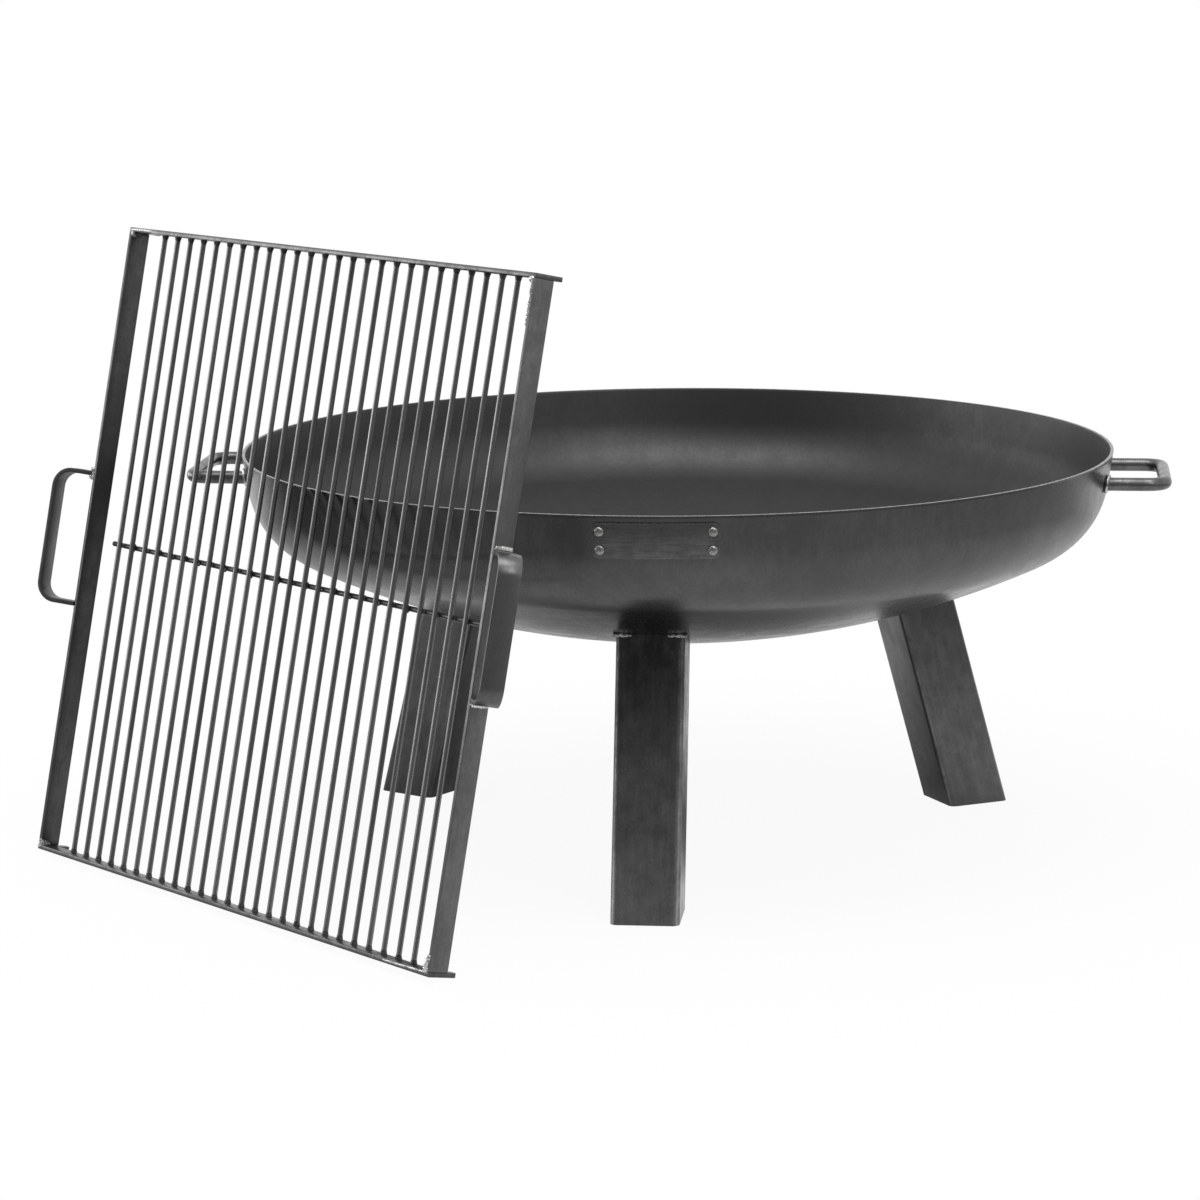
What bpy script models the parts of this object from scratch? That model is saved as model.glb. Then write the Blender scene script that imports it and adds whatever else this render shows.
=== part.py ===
"""Fire bowl: a dished steel bowl on three box-section legs, with two carrying handles, a plain
riveted plate, and a loose cooking grate that leans against the bowl's rim.

Metres, +Z up, floor at z = 0. The two carrying handles lie along X and the front leg stands at -Y.
Run it with: blender --background --python part.py
"""
import bmesh
import bpy
from math import acos, asin, atan2, cos, pi, radians, sin, sqrt, tan

from mathutils import Matrix, Vector

# Space kept between two pieces that touch, and the limit under which points merge
GAP = 0.0003
MERGE = 0.00005
SMOOTH_ANGLE = radians(50)
ARC_STEPS = 5
CORNER_STEPS = 3
TUBE_RESOLUTION = 2

# Bowl: a near-upright wall, a knuckle and a shallow dish, in outer sizes
RIM_RADIUS = 0.400
RIM_HEIGHT = 0.366
SHEET = 0.003
WALL_DROP = 0.0335
WALL_FOOT_RADIUS = 0.3947
KNUCKLE_RADIUS = 0.0765
BOWL_DEPTH = 0.1708
BED_RADIUS = 0.030
BOWL_STEPS = 72
KNUCKLE_STEPS = 6
DISH_STEPS = 6
WALL_DRAFT = atan2(RIM_RADIUS - WALL_FOOT_RADIUS, WALL_DROP)

# Legs: square box tube that leans outwards and is cut level with the floor
LEG_SIDE = 0.060
LEG_WALL = 0.003
LEG_CORNER = 0.006
LEG_FOOT_RADIUS = 0.306
LEG_LEAN = radians(16.3)
LEG_BELOW_FLOOR = 0.03
LEG_REACH = 0.280
LEG_AZIMUTHS = {"front": radians(-90), "right": radians(30), "left": radians(150)}
LEG_WELD_LENGTH = 0.016
LEG_WELD_OVERRUN = 0.0015
LEG_WELD_STEPS = 3
EDGE_ROUNDS = 20

# Carrying handles: round bar bent to a flat U
BAR_RADIUS = 0.006
HANDLE_ARM_SPAN = 0.1175
HANDLE_OUT = 0.0455
HANDLE_HEIGHT = 0.3420
HANDLE_BEND = 0.016
HANDLE_ROOT = 0.025

# Plate on the wall, riveted at its corners
PLATE_WIDTH = 0.106
PLATE_HEIGHT = 0.031
PLATE_THICKNESS = 0.0015
PLATE_CORNER = 0.005
PLATE_BELOW_RIM = 0.0212
PLATE_AZIMUTH = radians(-87.43)
PLATE_STEPS = 10
RIVET_SPAN = 0.094
RIVET_RISE = 0.016
RIVET_HEAD_RADIUS = 0.0043
RIVET_HEAD_HEIGHT = 0.0022
RIVET_SHANK_RADIUS = 0.0016
RIVET_TAIL_RADIUS = 0.0028
RIVET_TAIL_HEIGHT = 0.0011
RIVET_HOLE_RADIUS = 0.0020
RIVET_HOLE_DEPTH = 0.018
RIVET_STEPS = 12
DOME_STEPS = 4
FACET_SAG = RIM_RADIUS * (1 - cos(pi / BOWL_STEPS))

# Grate: a frame of flat bars, round rods from end to end and one rod across behind them.
# Its own axes: X to the right, Y rearwards, Z up along the rods, from the middle of its foot.
GRATE_WIDTH = 0.580
GRATE_LENGTH = 0.578
FLAT_THICKNESS = 0.004
FLAT_BEVEL = 0.0004
SIDE_DEPTH = 0.020
END_DEPTH = 0.0175
STOP_DEPTH = 0.0300
STOP_LENGTH = 0.009
STOP_ROUND = 0.003
ROD_COUNT = 26
ROD_PITCH = 0.02015
ROD_RADIUS = 0.00235
ROD_DEPTH = 0.0140
ROD_SIDES = 12
CROSS_ROD_LENGTH = 0.536
GRATE_LEAN = radians(12.33)
GRATE_AZIMUTH = radians(-43.0)
# The rim meets the rods this far to the right of the middle of the grate
GRATE_CONTACT = 0.043

# Grate handles: flat strap bent to a U, tilted towards the cooking side
STRAP_WIDTH = 0.020
STRAP_THICKNESS = 0.004
STRAP_SPAN = 0.121
STRAP_OUT = 0.0425
STRAP_BEND = 0.014
STRAP_TILT = radians(30)

WELD_RADIUS = 0.0020
WELD_SIDES = 8
WELD_RING_STEPS = 16

# Distance from the bowl's axis to the middle of the object's outline, in plan
FRAME_SHIFT = Vector((0.06662, 0.06547, 0.0))

STEEL = {"color": (0.045, 0.046, 0.048, 1), "roughness": 0.42, "metallic": 0.85}
LEG_STEEL = {"color": (0.050, 0.052, 0.054, 1), "roughness": 0.50, "metallic": 0.80}
GRATE_STEEL = {"color": (0.075, 0.077, 0.079, 1), "roughness": 0.40, "metallic": 0.85}
RIVET_STEEL = {"color": (0.16, 0.16, 0.16, 1), "roughness": 0.35, "metallic": 0.90}
WELD_STEEL = {"color": (0.30, 0.29, 0.28, 1), "roughness": 0.35, "metallic": 0.90}


def clear_scene():
    for item in list(bpy.data.objects):
        bpy.data.objects.remove(item, do_unlink=True)


def new_collection(name):
    group = bpy.data.collections.new(name)
    bpy.context.scene.collection.children.link(group)
    return group


def material(name, look):
    mat = bpy.data.materials.new(name)
    mat.use_nodes = True
    shader = mat.node_tree.nodes["Principled BSDF"]
    shader.inputs["Base Color"].default_value = look["color"]
    shader.inputs["Roughness"].default_value = look["roughness"]
    shader.inputs["Metallic"].default_value = look["metallic"]
    mat.diffuse_color = look["color"]
    return mat


def add_object(name, data, group, look=None, parent=None):
    """An object with its own material, in a collection and under a parent."""
    item = bpy.data.objects.new(name, data)
    group.objects.link(item)
    if look:
        data.materials.append(material(name, look))
    item.parent = parent
    return item


def add_empty(name, group, parent=None):
    item = bpy.data.objects.new(name, None)
    group.objects.link(item)
    item.parent = parent
    return item


def mesh_from(bm, name):
    mesh = bpy.data.meshes.new(name)
    bm.to_mesh(mesh)
    bm.free()
    return mesh


def smooth(mesh):
    mesh.shade_smooth()
    mesh.set_sharp_from_angle(angle=SMOOTH_ANGLE)


def add_screw(item, steps):
    turn = item.modifiers.new("turn", "SCREW")
    turn.axis = "Z"
    turn.angle = 2 * pi
    turn.steps = steps
    turn.render_steps = steps
    turn.use_merge_vertices = True
    turn.merge_threshold = MERGE
    turn.use_smooth_shade = True


def cut(item, cutter):
    hole = item.modifiers.new("cut", "BOOLEAN")
    hole.operation = "DIFFERENCE"
    hole.solver = "EXACT"
    hole.object = cutter


def hide_cutter(cutter):
    cutter.display_type = "WIRE"
    cutter.hide_render = True


def profile_mesh(points, name):
    """A chain of edges in the XZ plane, ready to be turned about Z."""
    bm = bmesh.new()
    chain = [bm.verts.new((r, 0, z)) for r, z in points]
    for first, second in zip(chain, chain[1:]):
        bm.edges.new((first, second))
    return mesh_from(bm, name)


def outline_curve(loops, thickness, name):
    """A flat outline, holes included, extruded to a plate centred on z = 0."""
    curve = bpy.data.curves.new(name, "CURVE")
    curve.dimensions = "2D"
    curve.fill_mode = "BOTH"
    curve.extrude = thickness / 2
    for loop in loops:
        spline = curve.splines.new("POLY")
        spline.points.add(len(loop) - 1)
        for point, (x, y) in zip(spline.points, loop):
            point.co = (x, y, 0, 1)
        spline.use_cyclic_u = True
    return curve


def tube_curve(points, radius, name):
    curve = bpy.data.curves.new(name, "CURVE")
    curve.dimensions = "3D"
    curve.bevel_depth = radius
    curve.bevel_resolution = TUBE_RESOLUTION
    curve.use_fill_caps = True
    spline = curve.splines.new("POLY")
    spline.points.add(len(points) - 1)
    for point, place in zip(spline.points, points):
        point.co = (*place, 1)
    return curve


def curve_to_mesh(item):
    """Replaces a curve object by a welded mesh object with the same name, place and material."""
    bpy.context.view_layer.update()
    evaluated = item.evaluated_get(bpy.context.evaluated_depsgraph_get())
    mesh = bpy.data.meshes.new_from_object(evaluated)
    bm = bmesh.new()
    bm.from_mesh(mesh)
    bmesh.ops.remove_doubles(bm, verts=bm.verts, dist=MERGE)
    bm.to_mesh(mesh)
    bm.free()
    name, parent, place = item.name, item.parent, item.matrix_local.copy()
    group = item.users_collection[0]
    bpy.data.objects.remove(item, do_unlink=True)
    mesh.name = name
    result = bpy.data.objects.new(name, mesh)
    group.objects.link(result)
    result.parent = parent
    result.matrix_local = place
    return result


def arc(centre, radius, start, end, steps=ARC_STEPS):
    """Points on an arc in a plane, both ends included."""
    points = []
    for k in range(steps + 1):
        angle = start + (end - start) * k / steps
        points.append((centre[0] + radius * cos(angle), centre[1] + radius * sin(angle)))
    return points


def rounded_rectangle(width, height, radius):
    corners = ((1, 1, 0), (-1, 1, pi / 2), (-1, -1, pi), (1, -1, 3 * pi / 2))
    loop = []
    for sx, sy, start in corners:
        centre = (sx * (width / 2 - radius), sy * (height / 2 - radius))
        loop += arc(centre, radius, start, start + pi / 2, CORNER_STEPS)
    return loop


def cylinder_mesh(radius, length, sides, name):
    """A closed cylinder along Z, centred on the origin."""
    bm = bmesh.new()
    bmesh.ops.create_cone(
        bm, cap_ends=True, segments=sides, radius1=radius, radius2=radius, depth=length)
    mesh = mesh_from(bm, name)
    smooth(mesh)
    return mesh


def box_mesh(size, name, bevel=0.0):
    bm = bmesh.new()
    bmesh.ops.create_cube(bm, size=1)
    bmesh.ops.scale(bm, verts=bm.verts, vec=size)
    if bevel:
        bmesh.ops.bevel(bm, geom=bm.edges, offset=bevel, segments=1, affect="EDGES")
    return mesh_from(bm, name)


def dish_sphere():
    """Height of the dish's centre above the floor, its radius and the knuckle's centre."""
    knuckle_r = WALL_FOOT_RADIUS - KNUCKLE_RADIUS * cos(WALL_DRAFT)
    knuckle_z = -WALL_DROP + KNUCKLE_RADIUS * sin(WALL_DRAFT)
    inner = BOWL_DEPTH - KNUCKLE_RADIUS
    centre = (knuckle_r ** 2 + knuckle_z ** 2 - inner ** 2) / (2 * (knuckle_z + inner))
    return centre, centre + BOWL_DEPTH, (knuckle_r, knuckle_z)


DISH_CENTRE, DISH_RADIUS, KNUCKLE_CENTRE = dish_sphere()


def bowl_profile(offset=0.0):
    """The bowl's outer side from the rim down to the middle, as radius and height above the floor."""
    lower = atan2(KNUCKLE_CENTRE[1] - DISH_CENTRE, KNUCKLE_CENTRE[0])
    points = [(RIM_RADIUS + offset, 0.0)]
    points += arc(KNUCKLE_CENTRE, KNUCKLE_RADIUS + offset, -WALL_DRAFT, lower, KNUCKLE_STEPS)
    bed = -acos(BED_RADIUS / DISH_RADIUS)
    points += arc((0.0, DISH_CENTRE), DISH_RADIUS + offset, lower, bed, DISH_STEPS)[1:]
    points.append((0.0, points[-1][1]))
    return [(r, RIM_HEIGHT + z) for r, z in points]


def wall_radius(below_rim):
    return RIM_RADIUS - below_rim * tan(WALL_DRAFT)


def add_bowl_envelope(group, frame):
    """The bowl's whole outer volume with a gap round it, which cuts the ends of legs and handles."""
    points = bowl_profile(GAP)
    top = RIM_HEIGHT + HANDLE_ROOT
    points = [(0.0, top), (RIM_RADIUS + GAP, top)] + points
    item = add_object("bowl_envelope", profile_mesh(points, "bowl_envelope"), group, parent=frame)
    add_screw(item, BOWL_STEPS)
    hide_cutter(item)
    return item


def add_bowl(group, frame, rivet_cutters):
    item = add_object("bowl_shell", profile_mesh(bowl_profile(), "bowl_shell"), group, STEEL, frame)
    add_screw(item, BOWL_STEPS)
    wall = item.modifiers.new("sheet", "SOLIDIFY")
    wall.thickness = SHEET
    wall.offset = -1
    wall.use_even_offset = True
    for cutter in rivet_cutters:
        cut(item, cutter)
    return item


def add_leg(side, azimuth, group, frame, envelope, floor):
    """One leg: open box tube, coped to the bowl at its top and cut level at its foot."""
    outer = rounded_rectangle(LEG_SIDE, LEG_SIDE, LEG_CORNER)
    bore_side = LEG_SIDE - 2 * LEG_WALL
    bore = rounded_rectangle(bore_side, bore_side, LEG_CORNER - LEG_WALL)
    length = LEG_BELOW_FLOOR + LEG_REACH
    name = "leg_" + side
    item = add_object(name, outline_curve([outer, bore], length, name), group, LEG_STEEL, frame)
    turn = Matrix.Rotation(azimuth, 4, "Z")
    tilt = Matrix.Rotation(-LEG_LEAN, 4, "Y")
    middle = Matrix.Translation((0, 0, (LEG_REACH - LEG_BELOW_FLOOR) / 2))
    item.matrix_local = turn @ Matrix.Translation((LEG_FOOT_RADIUS, 0, 0)) @ tilt @ middle
    item = curve_to_mesh(item)
    smooth(item.data)
    cut(item, envelope)
    cut(item, floor)
    return item


def leg_edge_point(across):
    """Where the leg's outer face meets the dish, this far across it: radius and height."""
    outer = LEG_FOOT_RADIUS + LEG_SIDE / 2 / cos(LEG_LEAN)
    dish_height = RIM_HEIGHT + DISH_CENTRE
    height = RIM_HEIGHT - BOWL_DEPTH
    for _ in range(EDGE_ROUNDS):
        radius = outer - height * tan(LEG_LEAN)
        height = dish_height - sqrt(DISH_RADIUS ** 2 - radius ** 2 - across ** 2)
    return radius, height


def add_leg_welds(side, azimuth, group, frame):
    """Two short beads in the corner between a leg's outer face and the bowl."""
    face_normal = Vector((cos(LEG_LEAN), 0, sin(LEG_LEAN)))
    dish_middle = Vector((0, 0, RIM_HEIGHT + DISH_CENTRE))
    reach = WELD_RADIUS + GAP
    for name_end, end in (("a", -1), ("b", 1)):
        edge = end * (LEG_SIDE / 2 + LEG_WELD_OVERRUN)
        points = []
        for k in range(LEG_WELD_STEPS + 1):
            across = edge - end * LEG_WELD_LENGTH * k / LEG_WELD_STEPS
            radius, height = leg_edge_point(across)
            corner = Vector((radius, across, height))
            dish_normal = (corner - dish_middle).normalized()
            share = reach / (1 + face_normal.dot(dish_normal))
            points.append(corner + share * (face_normal + dish_normal))
        name = f"leg_weld_{side}_{name_end}"
        item = add_object(name, tube_curve(points, WELD_RADIUS, name), group, WELD_STEEL, frame)
        item.matrix_local = Matrix.Rotation(azimuth, 4, "Z")


def handle_path():
    """Centre line of the right-hand carrying handle, seen from above."""
    arm = HANDLE_ARM_SPAN / 2
    end = RIM_RADIUS + HANDLE_OUT
    bend = (end - HANDLE_BEND, arm - HANDLE_BEND)
    root = RIM_RADIUS - HANDLE_ROOT
    path = [(root, -arm)] + arc((bend[0], -bend[1]), HANDLE_BEND, -pi / 2, 0)
    path += arc(bend, HANDLE_BEND, 0, pi / 2) + [(root, arm)]
    return [(x, y, 0) for x, y in path]


def add_handle(side, turn, group, frame, envelope):
    name = "handle_" + side
    data = tube_curve(handle_path(), BAR_RADIUS, name)
    item = add_object(name, data, group, STEEL, frame)
    item.location = (0, 0, HANDLE_HEIGHT)
    item.rotation_euler = (0, 0, turn)
    item = curve_to_mesh(item)
    smooth(item.data)
    cut(item, envelope)
    return item


def add_handle_welds(side, turn, group, frame):
    """A ring of weld round each arm where it meets the wall."""
    arm = HANDLE_ARM_SPAN / 2
    radius = wall_radius(RIM_HEIGHT - HANDLE_HEIGHT)
    azimuth = asin(arm / radius)
    stand_off = WELD_RADIUS + 2 * GAP
    ring = BAR_RADIUS + 2 * GAP + WELD_RADIUS
    for end_name, end in (("front", -1), ("rear", 1)):
        name = f"handle_weld_{side}_{end_name}"
        angles = [2 * pi * k / WELD_RING_STEPS for k in range(WELD_RING_STEPS)]
        path = [(ring * cos(angle), ring * sin(angle), 0) for angle in angles]
        data = tube_curve(path, WELD_RADIUS, name)
        data.splines[0].use_cyclic_u = True
        item = add_object(name, data, group, WELD_STEEL, frame)
        normal = Vector((cos(azimuth) * cos(WALL_DRAFT), end * sin(azimuth), -sin(WALL_DRAFT)))
        centre = Vector((sqrt(radius ** 2 - arm ** 2) + stand_off, end * arm, HANDLE_HEIGHT))
        tilt = normal.to_track_quat("Z", "Y").to_matrix().to_4x4()
        place = Matrix.Rotation(turn, 4, "Z") @ Matrix.Translation(centre) @ tilt
        item.matrix_local = place


def plate_place(across, up):
    """Azimuth of a point on the plate, counted from its middle, and its drop below the rim."""
    radius = wall_radius(PLATE_BELOW_RIM)
    return PLATE_AZIMUTH + across / radius, PLATE_BELOW_RIM - up * cos(WALL_DRAFT)


def add_plate(group, frame, rivet_cutters):
    """The plain plate: a sheet wrapped round the wall, rounded at its corners."""
    bm = bmesh.new()
    bmesh.ops.create_grid(bm, x_segments=PLATE_STEPS, y_segments=1, size=0.5)
    bmesh.ops.scale(bm, verts=bm.verts, vec=(PLATE_WIDTH, PLATE_HEIGHT, 1))
    corners = [v for v in bm.verts if len(v.link_edges) == 2]
    bmesh.ops.bevel(
        bm, geom=corners, offset=PLATE_CORNER, segments=CORNER_STEPS, profile=0.5,
        affect="VERTICES")
    for vertex in bm.verts:
        azimuth, drop = plate_place(vertex.co.x, vertex.co.y)
        radius = wall_radius(drop) + GAP
        vertex.co = (radius * cos(azimuth), radius * sin(azimuth), RIM_HEIGHT - drop)
    bmesh.ops.recalc_face_normals(bm, faces=bm.faces)
    outward = Vector((cos(PLATE_AZIMUTH), sin(PLATE_AZIMUTH), 0))
    bm.faces.ensure_lookup_table()
    if bm.faces[0].normal.dot(outward) < 0:
        bmesh.ops.reverse_faces(bm, faces=bm.faces)
    item = add_object("plate", mesh_from(bm, "plate"), group, STEEL, frame)
    sheet = item.modifiers.new("sheet", "SOLIDIFY")
    sheet.thickness = PLATE_THICKNESS
    sheet.offset = 1
    for cutter in rivet_cutters:
        cut(item, cutter)
    return item


def rivet_places():
    """Position and turn of each rivet on the wall's outer side."""
    places = []
    for across in (-1, 1):
        for up in (1, -1):
            azimuth, drop = plate_place(across * RIVET_SPAN / 2, up * RIVET_RISE / 2)
            radius = wall_radius(drop)
            location = (radius * cos(azimuth), radius * sin(azimuth), RIM_HEIGHT - drop)
            places.append((location, (0, pi / 2 + WALL_DRAFT, azimuth)))
    return places


def add_rivet_cutters(group, frame):
    cutters = []
    for number, (location, turn) in enumerate(rivet_places(), 1):
        name = f"rivet_hole_{number}"
        data = cylinder_mesh(RIVET_HOLE_RADIUS, RIVET_HOLE_DEPTH, RIVET_STEPS, name)
        item = add_object(name, data, group, parent=frame)
        item.location = location
        item.rotation_euler = turn
        hide_cutter(item)
        cutters.append(item)
    return cutters


def add_rivets(group, frame):
    """Domed rivets through the plate and the wall, closed by a flat tail inside the bowl."""
    seat = 2 * GAP + PLATE_THICKNESS
    tail = -SHEET - FACET_SAG - GAP
    angles = [pi / 2 * k / DOME_STEPS for k in range(DOME_STEPS + 1)]
    dome = [(RIVET_HEAD_RADIUS * sin(a), seat + RIVET_HEAD_HEIGHT * cos(a)) for a in angles]
    points = dome + [
        (RIVET_SHANK_RADIUS, seat), (RIVET_SHANK_RADIUS, tail), (RIVET_TAIL_RADIUS, tail),
        (RIVET_TAIL_RADIUS, tail - RIVET_TAIL_HEIGHT), (0, tail - RIVET_TAIL_HEIGHT)]
    for number, (location, turn) in enumerate(rivet_places(), 1):
        name = f"rivet_{number}"
        item = add_object(name, profile_mesh(points, name), group, RIVET_STEEL, frame)
        add_screw(item, RIVET_STEPS)
        item.location = location
        item.rotation_euler = turn


def grate_frame(group, frame):
    """The empty that carries the grate, which leans back until its rods meet the rim."""
    item = add_empty("grate_frame", group, frame)
    lift = STOP_DEPTH * sin(GRATE_LEAN)
    back_of_rods = ROD_DEPTH + ROD_RADIUS + GAP
    rise = RIM_HEIGHT - lift
    foot = RIM_RADIUS + (back_of_rods + rise * sin(GRATE_LEAN)) / cos(GRATE_LEAN)
    right = Vector((cos(GRATE_AZIMUTH), sin(GRATE_AZIMUTH), 0))
    rearwards = Vector((-sin(GRATE_AZIMUTH), cos(GRATE_AZIMUTH), 0))
    item.location = -foot * rearwards - GRATE_CONTACT * right + Vector((0, 0, lift))
    item.rotation_euler = (-GRATE_LEAN, 0, GRATE_AZIMUTH)
    return item


def add_end_bar(name, height, group, grate):
    """A flat bar across the grate, with a stop at each end that reaches past the side bars."""
    half = GRATE_WIDTH / 2
    half_loop = [(0, 0), (half, 0)]
    tip = (half - STOP_ROUND, STOP_DEPTH - STOP_ROUND)
    half_loop += arc(tip, STOP_ROUND, 0, pi / 2, CORNER_STEPS)
    half_loop += [(half - STOP_LENGTH, STOP_DEPTH), (half - STOP_LENGTH, END_DEPTH)]
    loop = half_loop + [(-x, y) for x, y in reversed(half_loop[1:])]
    curve = outline_curve([loop], FLAT_THICKNESS, name)
    item = add_object(name, curve, group, GRATE_STEEL, grate)
    item.location = (0, 0, height)
    return curve_to_mesh(item)


def add_side_bar(side, direction, group, grate):
    name = "grate_side_" + side
    length = GRATE_LENGTH - 2 * (FLAT_THICKNESS + GAP)
    mesh = box_mesh((FLAT_THICKNESS, SIDE_DEPTH, length), name, FLAT_BEVEL)
    item = add_object(name, mesh, group, GRATE_STEEL, grate)
    across = direction * (GRATE_WIDTH - FLAT_THICKNESS) / 2
    item.location = (across, SIDE_DEPTH / 2, GRATE_LENGTH / 2)
    return item


def add_rods(group, grate):
    length = GRATE_LENGTH - 2 * (FLAT_THICKNESS + GAP)
    for number in range(ROD_COUNT):
        name = f"grate_rod_{number + 1:02d}"
        mesh = cylinder_mesh(ROD_RADIUS, length, ROD_SIDES, name)
        item = add_object(name, mesh, group, GRATE_STEEL, grate)
        across = (number - (ROD_COUNT - 1) / 2) * ROD_PITCH
        item.location = (across, ROD_DEPTH, GRATE_LENGTH / 2)


def add_cross_rod(group, grate):
    mesh = cylinder_mesh(ROD_RADIUS, CROSS_ROD_LENGTH, ROD_SIDES, "grate_cross_rod")
    item = add_object("grate_cross_rod", mesh, group, GRATE_STEEL, grate)
    item.rotation_euler = (0, pi / 2, 0)
    item.location = (0, ROD_DEPTH + 2 * ROD_RADIUS + GAP, GRATE_LENGTH / 2)
    return item


def strap_outline():
    """A U of constant thickness in its own plane: X outwards from the side bar, Y along the bar."""
    half = STRAP_SPAN / 2
    root = -STRAP_WIDTH
    centre = (STRAP_OUT - STRAP_BEND, half - STRAP_BEND)
    loop = []
    for step, radius in ((1, STRAP_BEND + STRAP_THICKNESS / 2), (-1, STRAP_BEND - STRAP_THICKNESS / 2)):
        edge = half + step * STRAP_THICKNESS / 2
        lower = [(root, -edge)] + arc((centre[0], -centre[1]), radius, -pi / 2, 0)
        upper = arc(centre, radius, 0, pi / 2) + [(root, edge)]
        loop += (lower + upper)[::step]
    return loop


def add_grate_handle(side, direction, group, grate, cutter_group):
    """A strap handle, its feet cut off along the side bar's outer face."""
    name = "grate_handle_" + side
    curve = outline_curve([strap_outline()], STRAP_WIDTH, name)
    item = add_object(name, curve, group, GRATE_STEEL, grate)
    face = Vector((direction * GRATE_WIDTH / 2, SIDE_DEPTH / 2, GRATE_LENGTH / 2))
    outwards = Vector((direction * cos(STRAP_TILT), -sin(STRAP_TILT), 0))
    along = Vector((0, 0, 1))
    axes = Matrix((outwards, along, outwards.cross(along))).transposed().to_4x4()
    item.matrix_local = Matrix.Translation(face) @ axes
    item = curve_to_mesh(item)
    smooth(item.data)
    block = 2 * STRAP_OUT
    mesh = box_mesh((block, block, 2 * STRAP_SPAN), name + "_cut")
    cutter = add_object(name + "_cut", mesh, cutter_group, parent=grate)
    cutter.location = face - Vector((direction * (block / 2 - GAP), 0, 0))
    hide_cutter(cutter)
    cut(item, cutter)
    return item


def add_grate_handle_welds(side, direction, group, grate):
    """A bead across each foot of a strap handle, on the side away from the grip."""
    across = direction * (GRATE_WIDTH / 2 + WELD_RADIUS + GAP)
    rise = STRAP_SPAN / 2 + STRAP_THICKNESS / 2 + WELD_RADIUS + GAP
    for end_name, end in (("top", 1), ("bottom", -1)):
        name = f"grate_weld_{side}_{end_name}"
        mesh = cylinder_mesh(WELD_RADIUS, STRAP_WIDTH, WELD_SIDES, name)
        item = add_object(name, mesh, group, WELD_STEEL, grate)
        item.rotation_euler = (pi / 2, 0, 0)
        item.location = (across, SIDE_DEPTH / 2, GRATE_LENGTH / 2 + end * rise)


def add_floor_cutter(group, frame):
    """A slab under the floor, which cuts the legs' feet level."""
    depth = 2 * LEG_BELOW_FLOOR
    mesh = box_mesh((3 * RIM_RADIUS, 3 * RIM_RADIUS, depth), "floor_slab")
    item = add_object("floor_slab", mesh, group, parent=frame)
    item.location = (0, 0, -depth / 2)
    hide_cutter(item)
    return item


def main():
    clear_scene()
    parts = new_collection("fire_bowl")
    cutters = new_collection("cutters")
    frame = add_empty("fire_bowl_frame", parts)
    frame.location = FRAME_SHIFT
    envelope = add_bowl_envelope(cutters, frame)
    floor = add_floor_cutter(cutters, frame)
    rivet_cutters = add_rivet_cutters(cutters, frame)

    add_bowl(parts, frame, rivet_cutters)
    for side, azimuth in LEG_AZIMUTHS.items():
        add_leg(side, azimuth, parts, frame, envelope, floor)
        add_leg_welds(side, azimuth, parts, frame)
    for side, turn in (("right", 0.0), ("left", pi)):
        add_handle(side, turn, parts, frame, envelope)
        add_handle_welds(side, turn, parts, frame)
    add_plate(parts, frame, rivet_cutters)
    add_rivets(parts, frame)

    grate = grate_frame(parts, frame)
    add_end_bar("grate_end_bottom", FLAT_THICKNESS / 2, parts, grate)
    add_end_bar("grate_end_top", GRATE_LENGTH - FLAT_THICKNESS / 2, parts, grate)
    add_rods(parts, grate)
    add_cross_rod(parts, grate)
    for side, direction in (("left", -1), ("right", 1)):
        add_side_bar(side, direction, parts, grate)
        add_grate_handle(side, direction, parts, grate, cutters)
        add_grate_handle_welds(side, direction, parts, grate)
    bpy.context.view_layer.update()


main()
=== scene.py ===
"""Looks of the fire bowl: bowl, legs, handles, plate and rivets, and the grate that leans on it.

Metres, +Z up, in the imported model's own frame. Each operator models one group of pieces.
"""

from math import acos, asin, atan2, cos, pi, radians, sin, tan

import bmesh
import bpy
from bpy.props import FloatProperty, FloatVectorProperty, IntProperty, PointerProperty
from bpy.types import Operator, Panel, PropertyGroup
from mathutils import Matrix, Vector


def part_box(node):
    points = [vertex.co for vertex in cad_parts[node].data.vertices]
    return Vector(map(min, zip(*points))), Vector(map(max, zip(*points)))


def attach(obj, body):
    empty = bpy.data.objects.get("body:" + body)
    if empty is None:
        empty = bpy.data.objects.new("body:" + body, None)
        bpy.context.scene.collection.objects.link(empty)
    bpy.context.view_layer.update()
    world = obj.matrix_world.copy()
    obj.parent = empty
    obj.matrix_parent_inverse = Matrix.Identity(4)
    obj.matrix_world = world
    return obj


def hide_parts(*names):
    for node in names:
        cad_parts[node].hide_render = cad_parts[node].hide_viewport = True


bl_info = {
    "name": "Fire Bowl",
    "version": (1, 0, 0),
    "blender": (4, 5, 0),
    "location": "View3D > Sidebar > Fire Bowl",
    "description": "Models a steel fire bowl with its legs, handles and loose cooking grate",
    "category": "Add Mesh",
}


def middle_of(node):
    low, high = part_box(node)
    return (low + high) / 2


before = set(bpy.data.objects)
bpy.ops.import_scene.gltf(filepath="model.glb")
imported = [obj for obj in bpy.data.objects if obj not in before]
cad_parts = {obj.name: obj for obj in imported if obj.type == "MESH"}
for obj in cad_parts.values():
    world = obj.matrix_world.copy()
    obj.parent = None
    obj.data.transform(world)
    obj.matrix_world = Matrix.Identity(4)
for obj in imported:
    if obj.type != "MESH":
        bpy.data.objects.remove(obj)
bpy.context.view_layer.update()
AXIS = Vector((*middle_of("bowl_shell").xy, 0))
UP = Vector((0, 0, 1))
WHITE = (1, 1, 1, 1)

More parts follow.
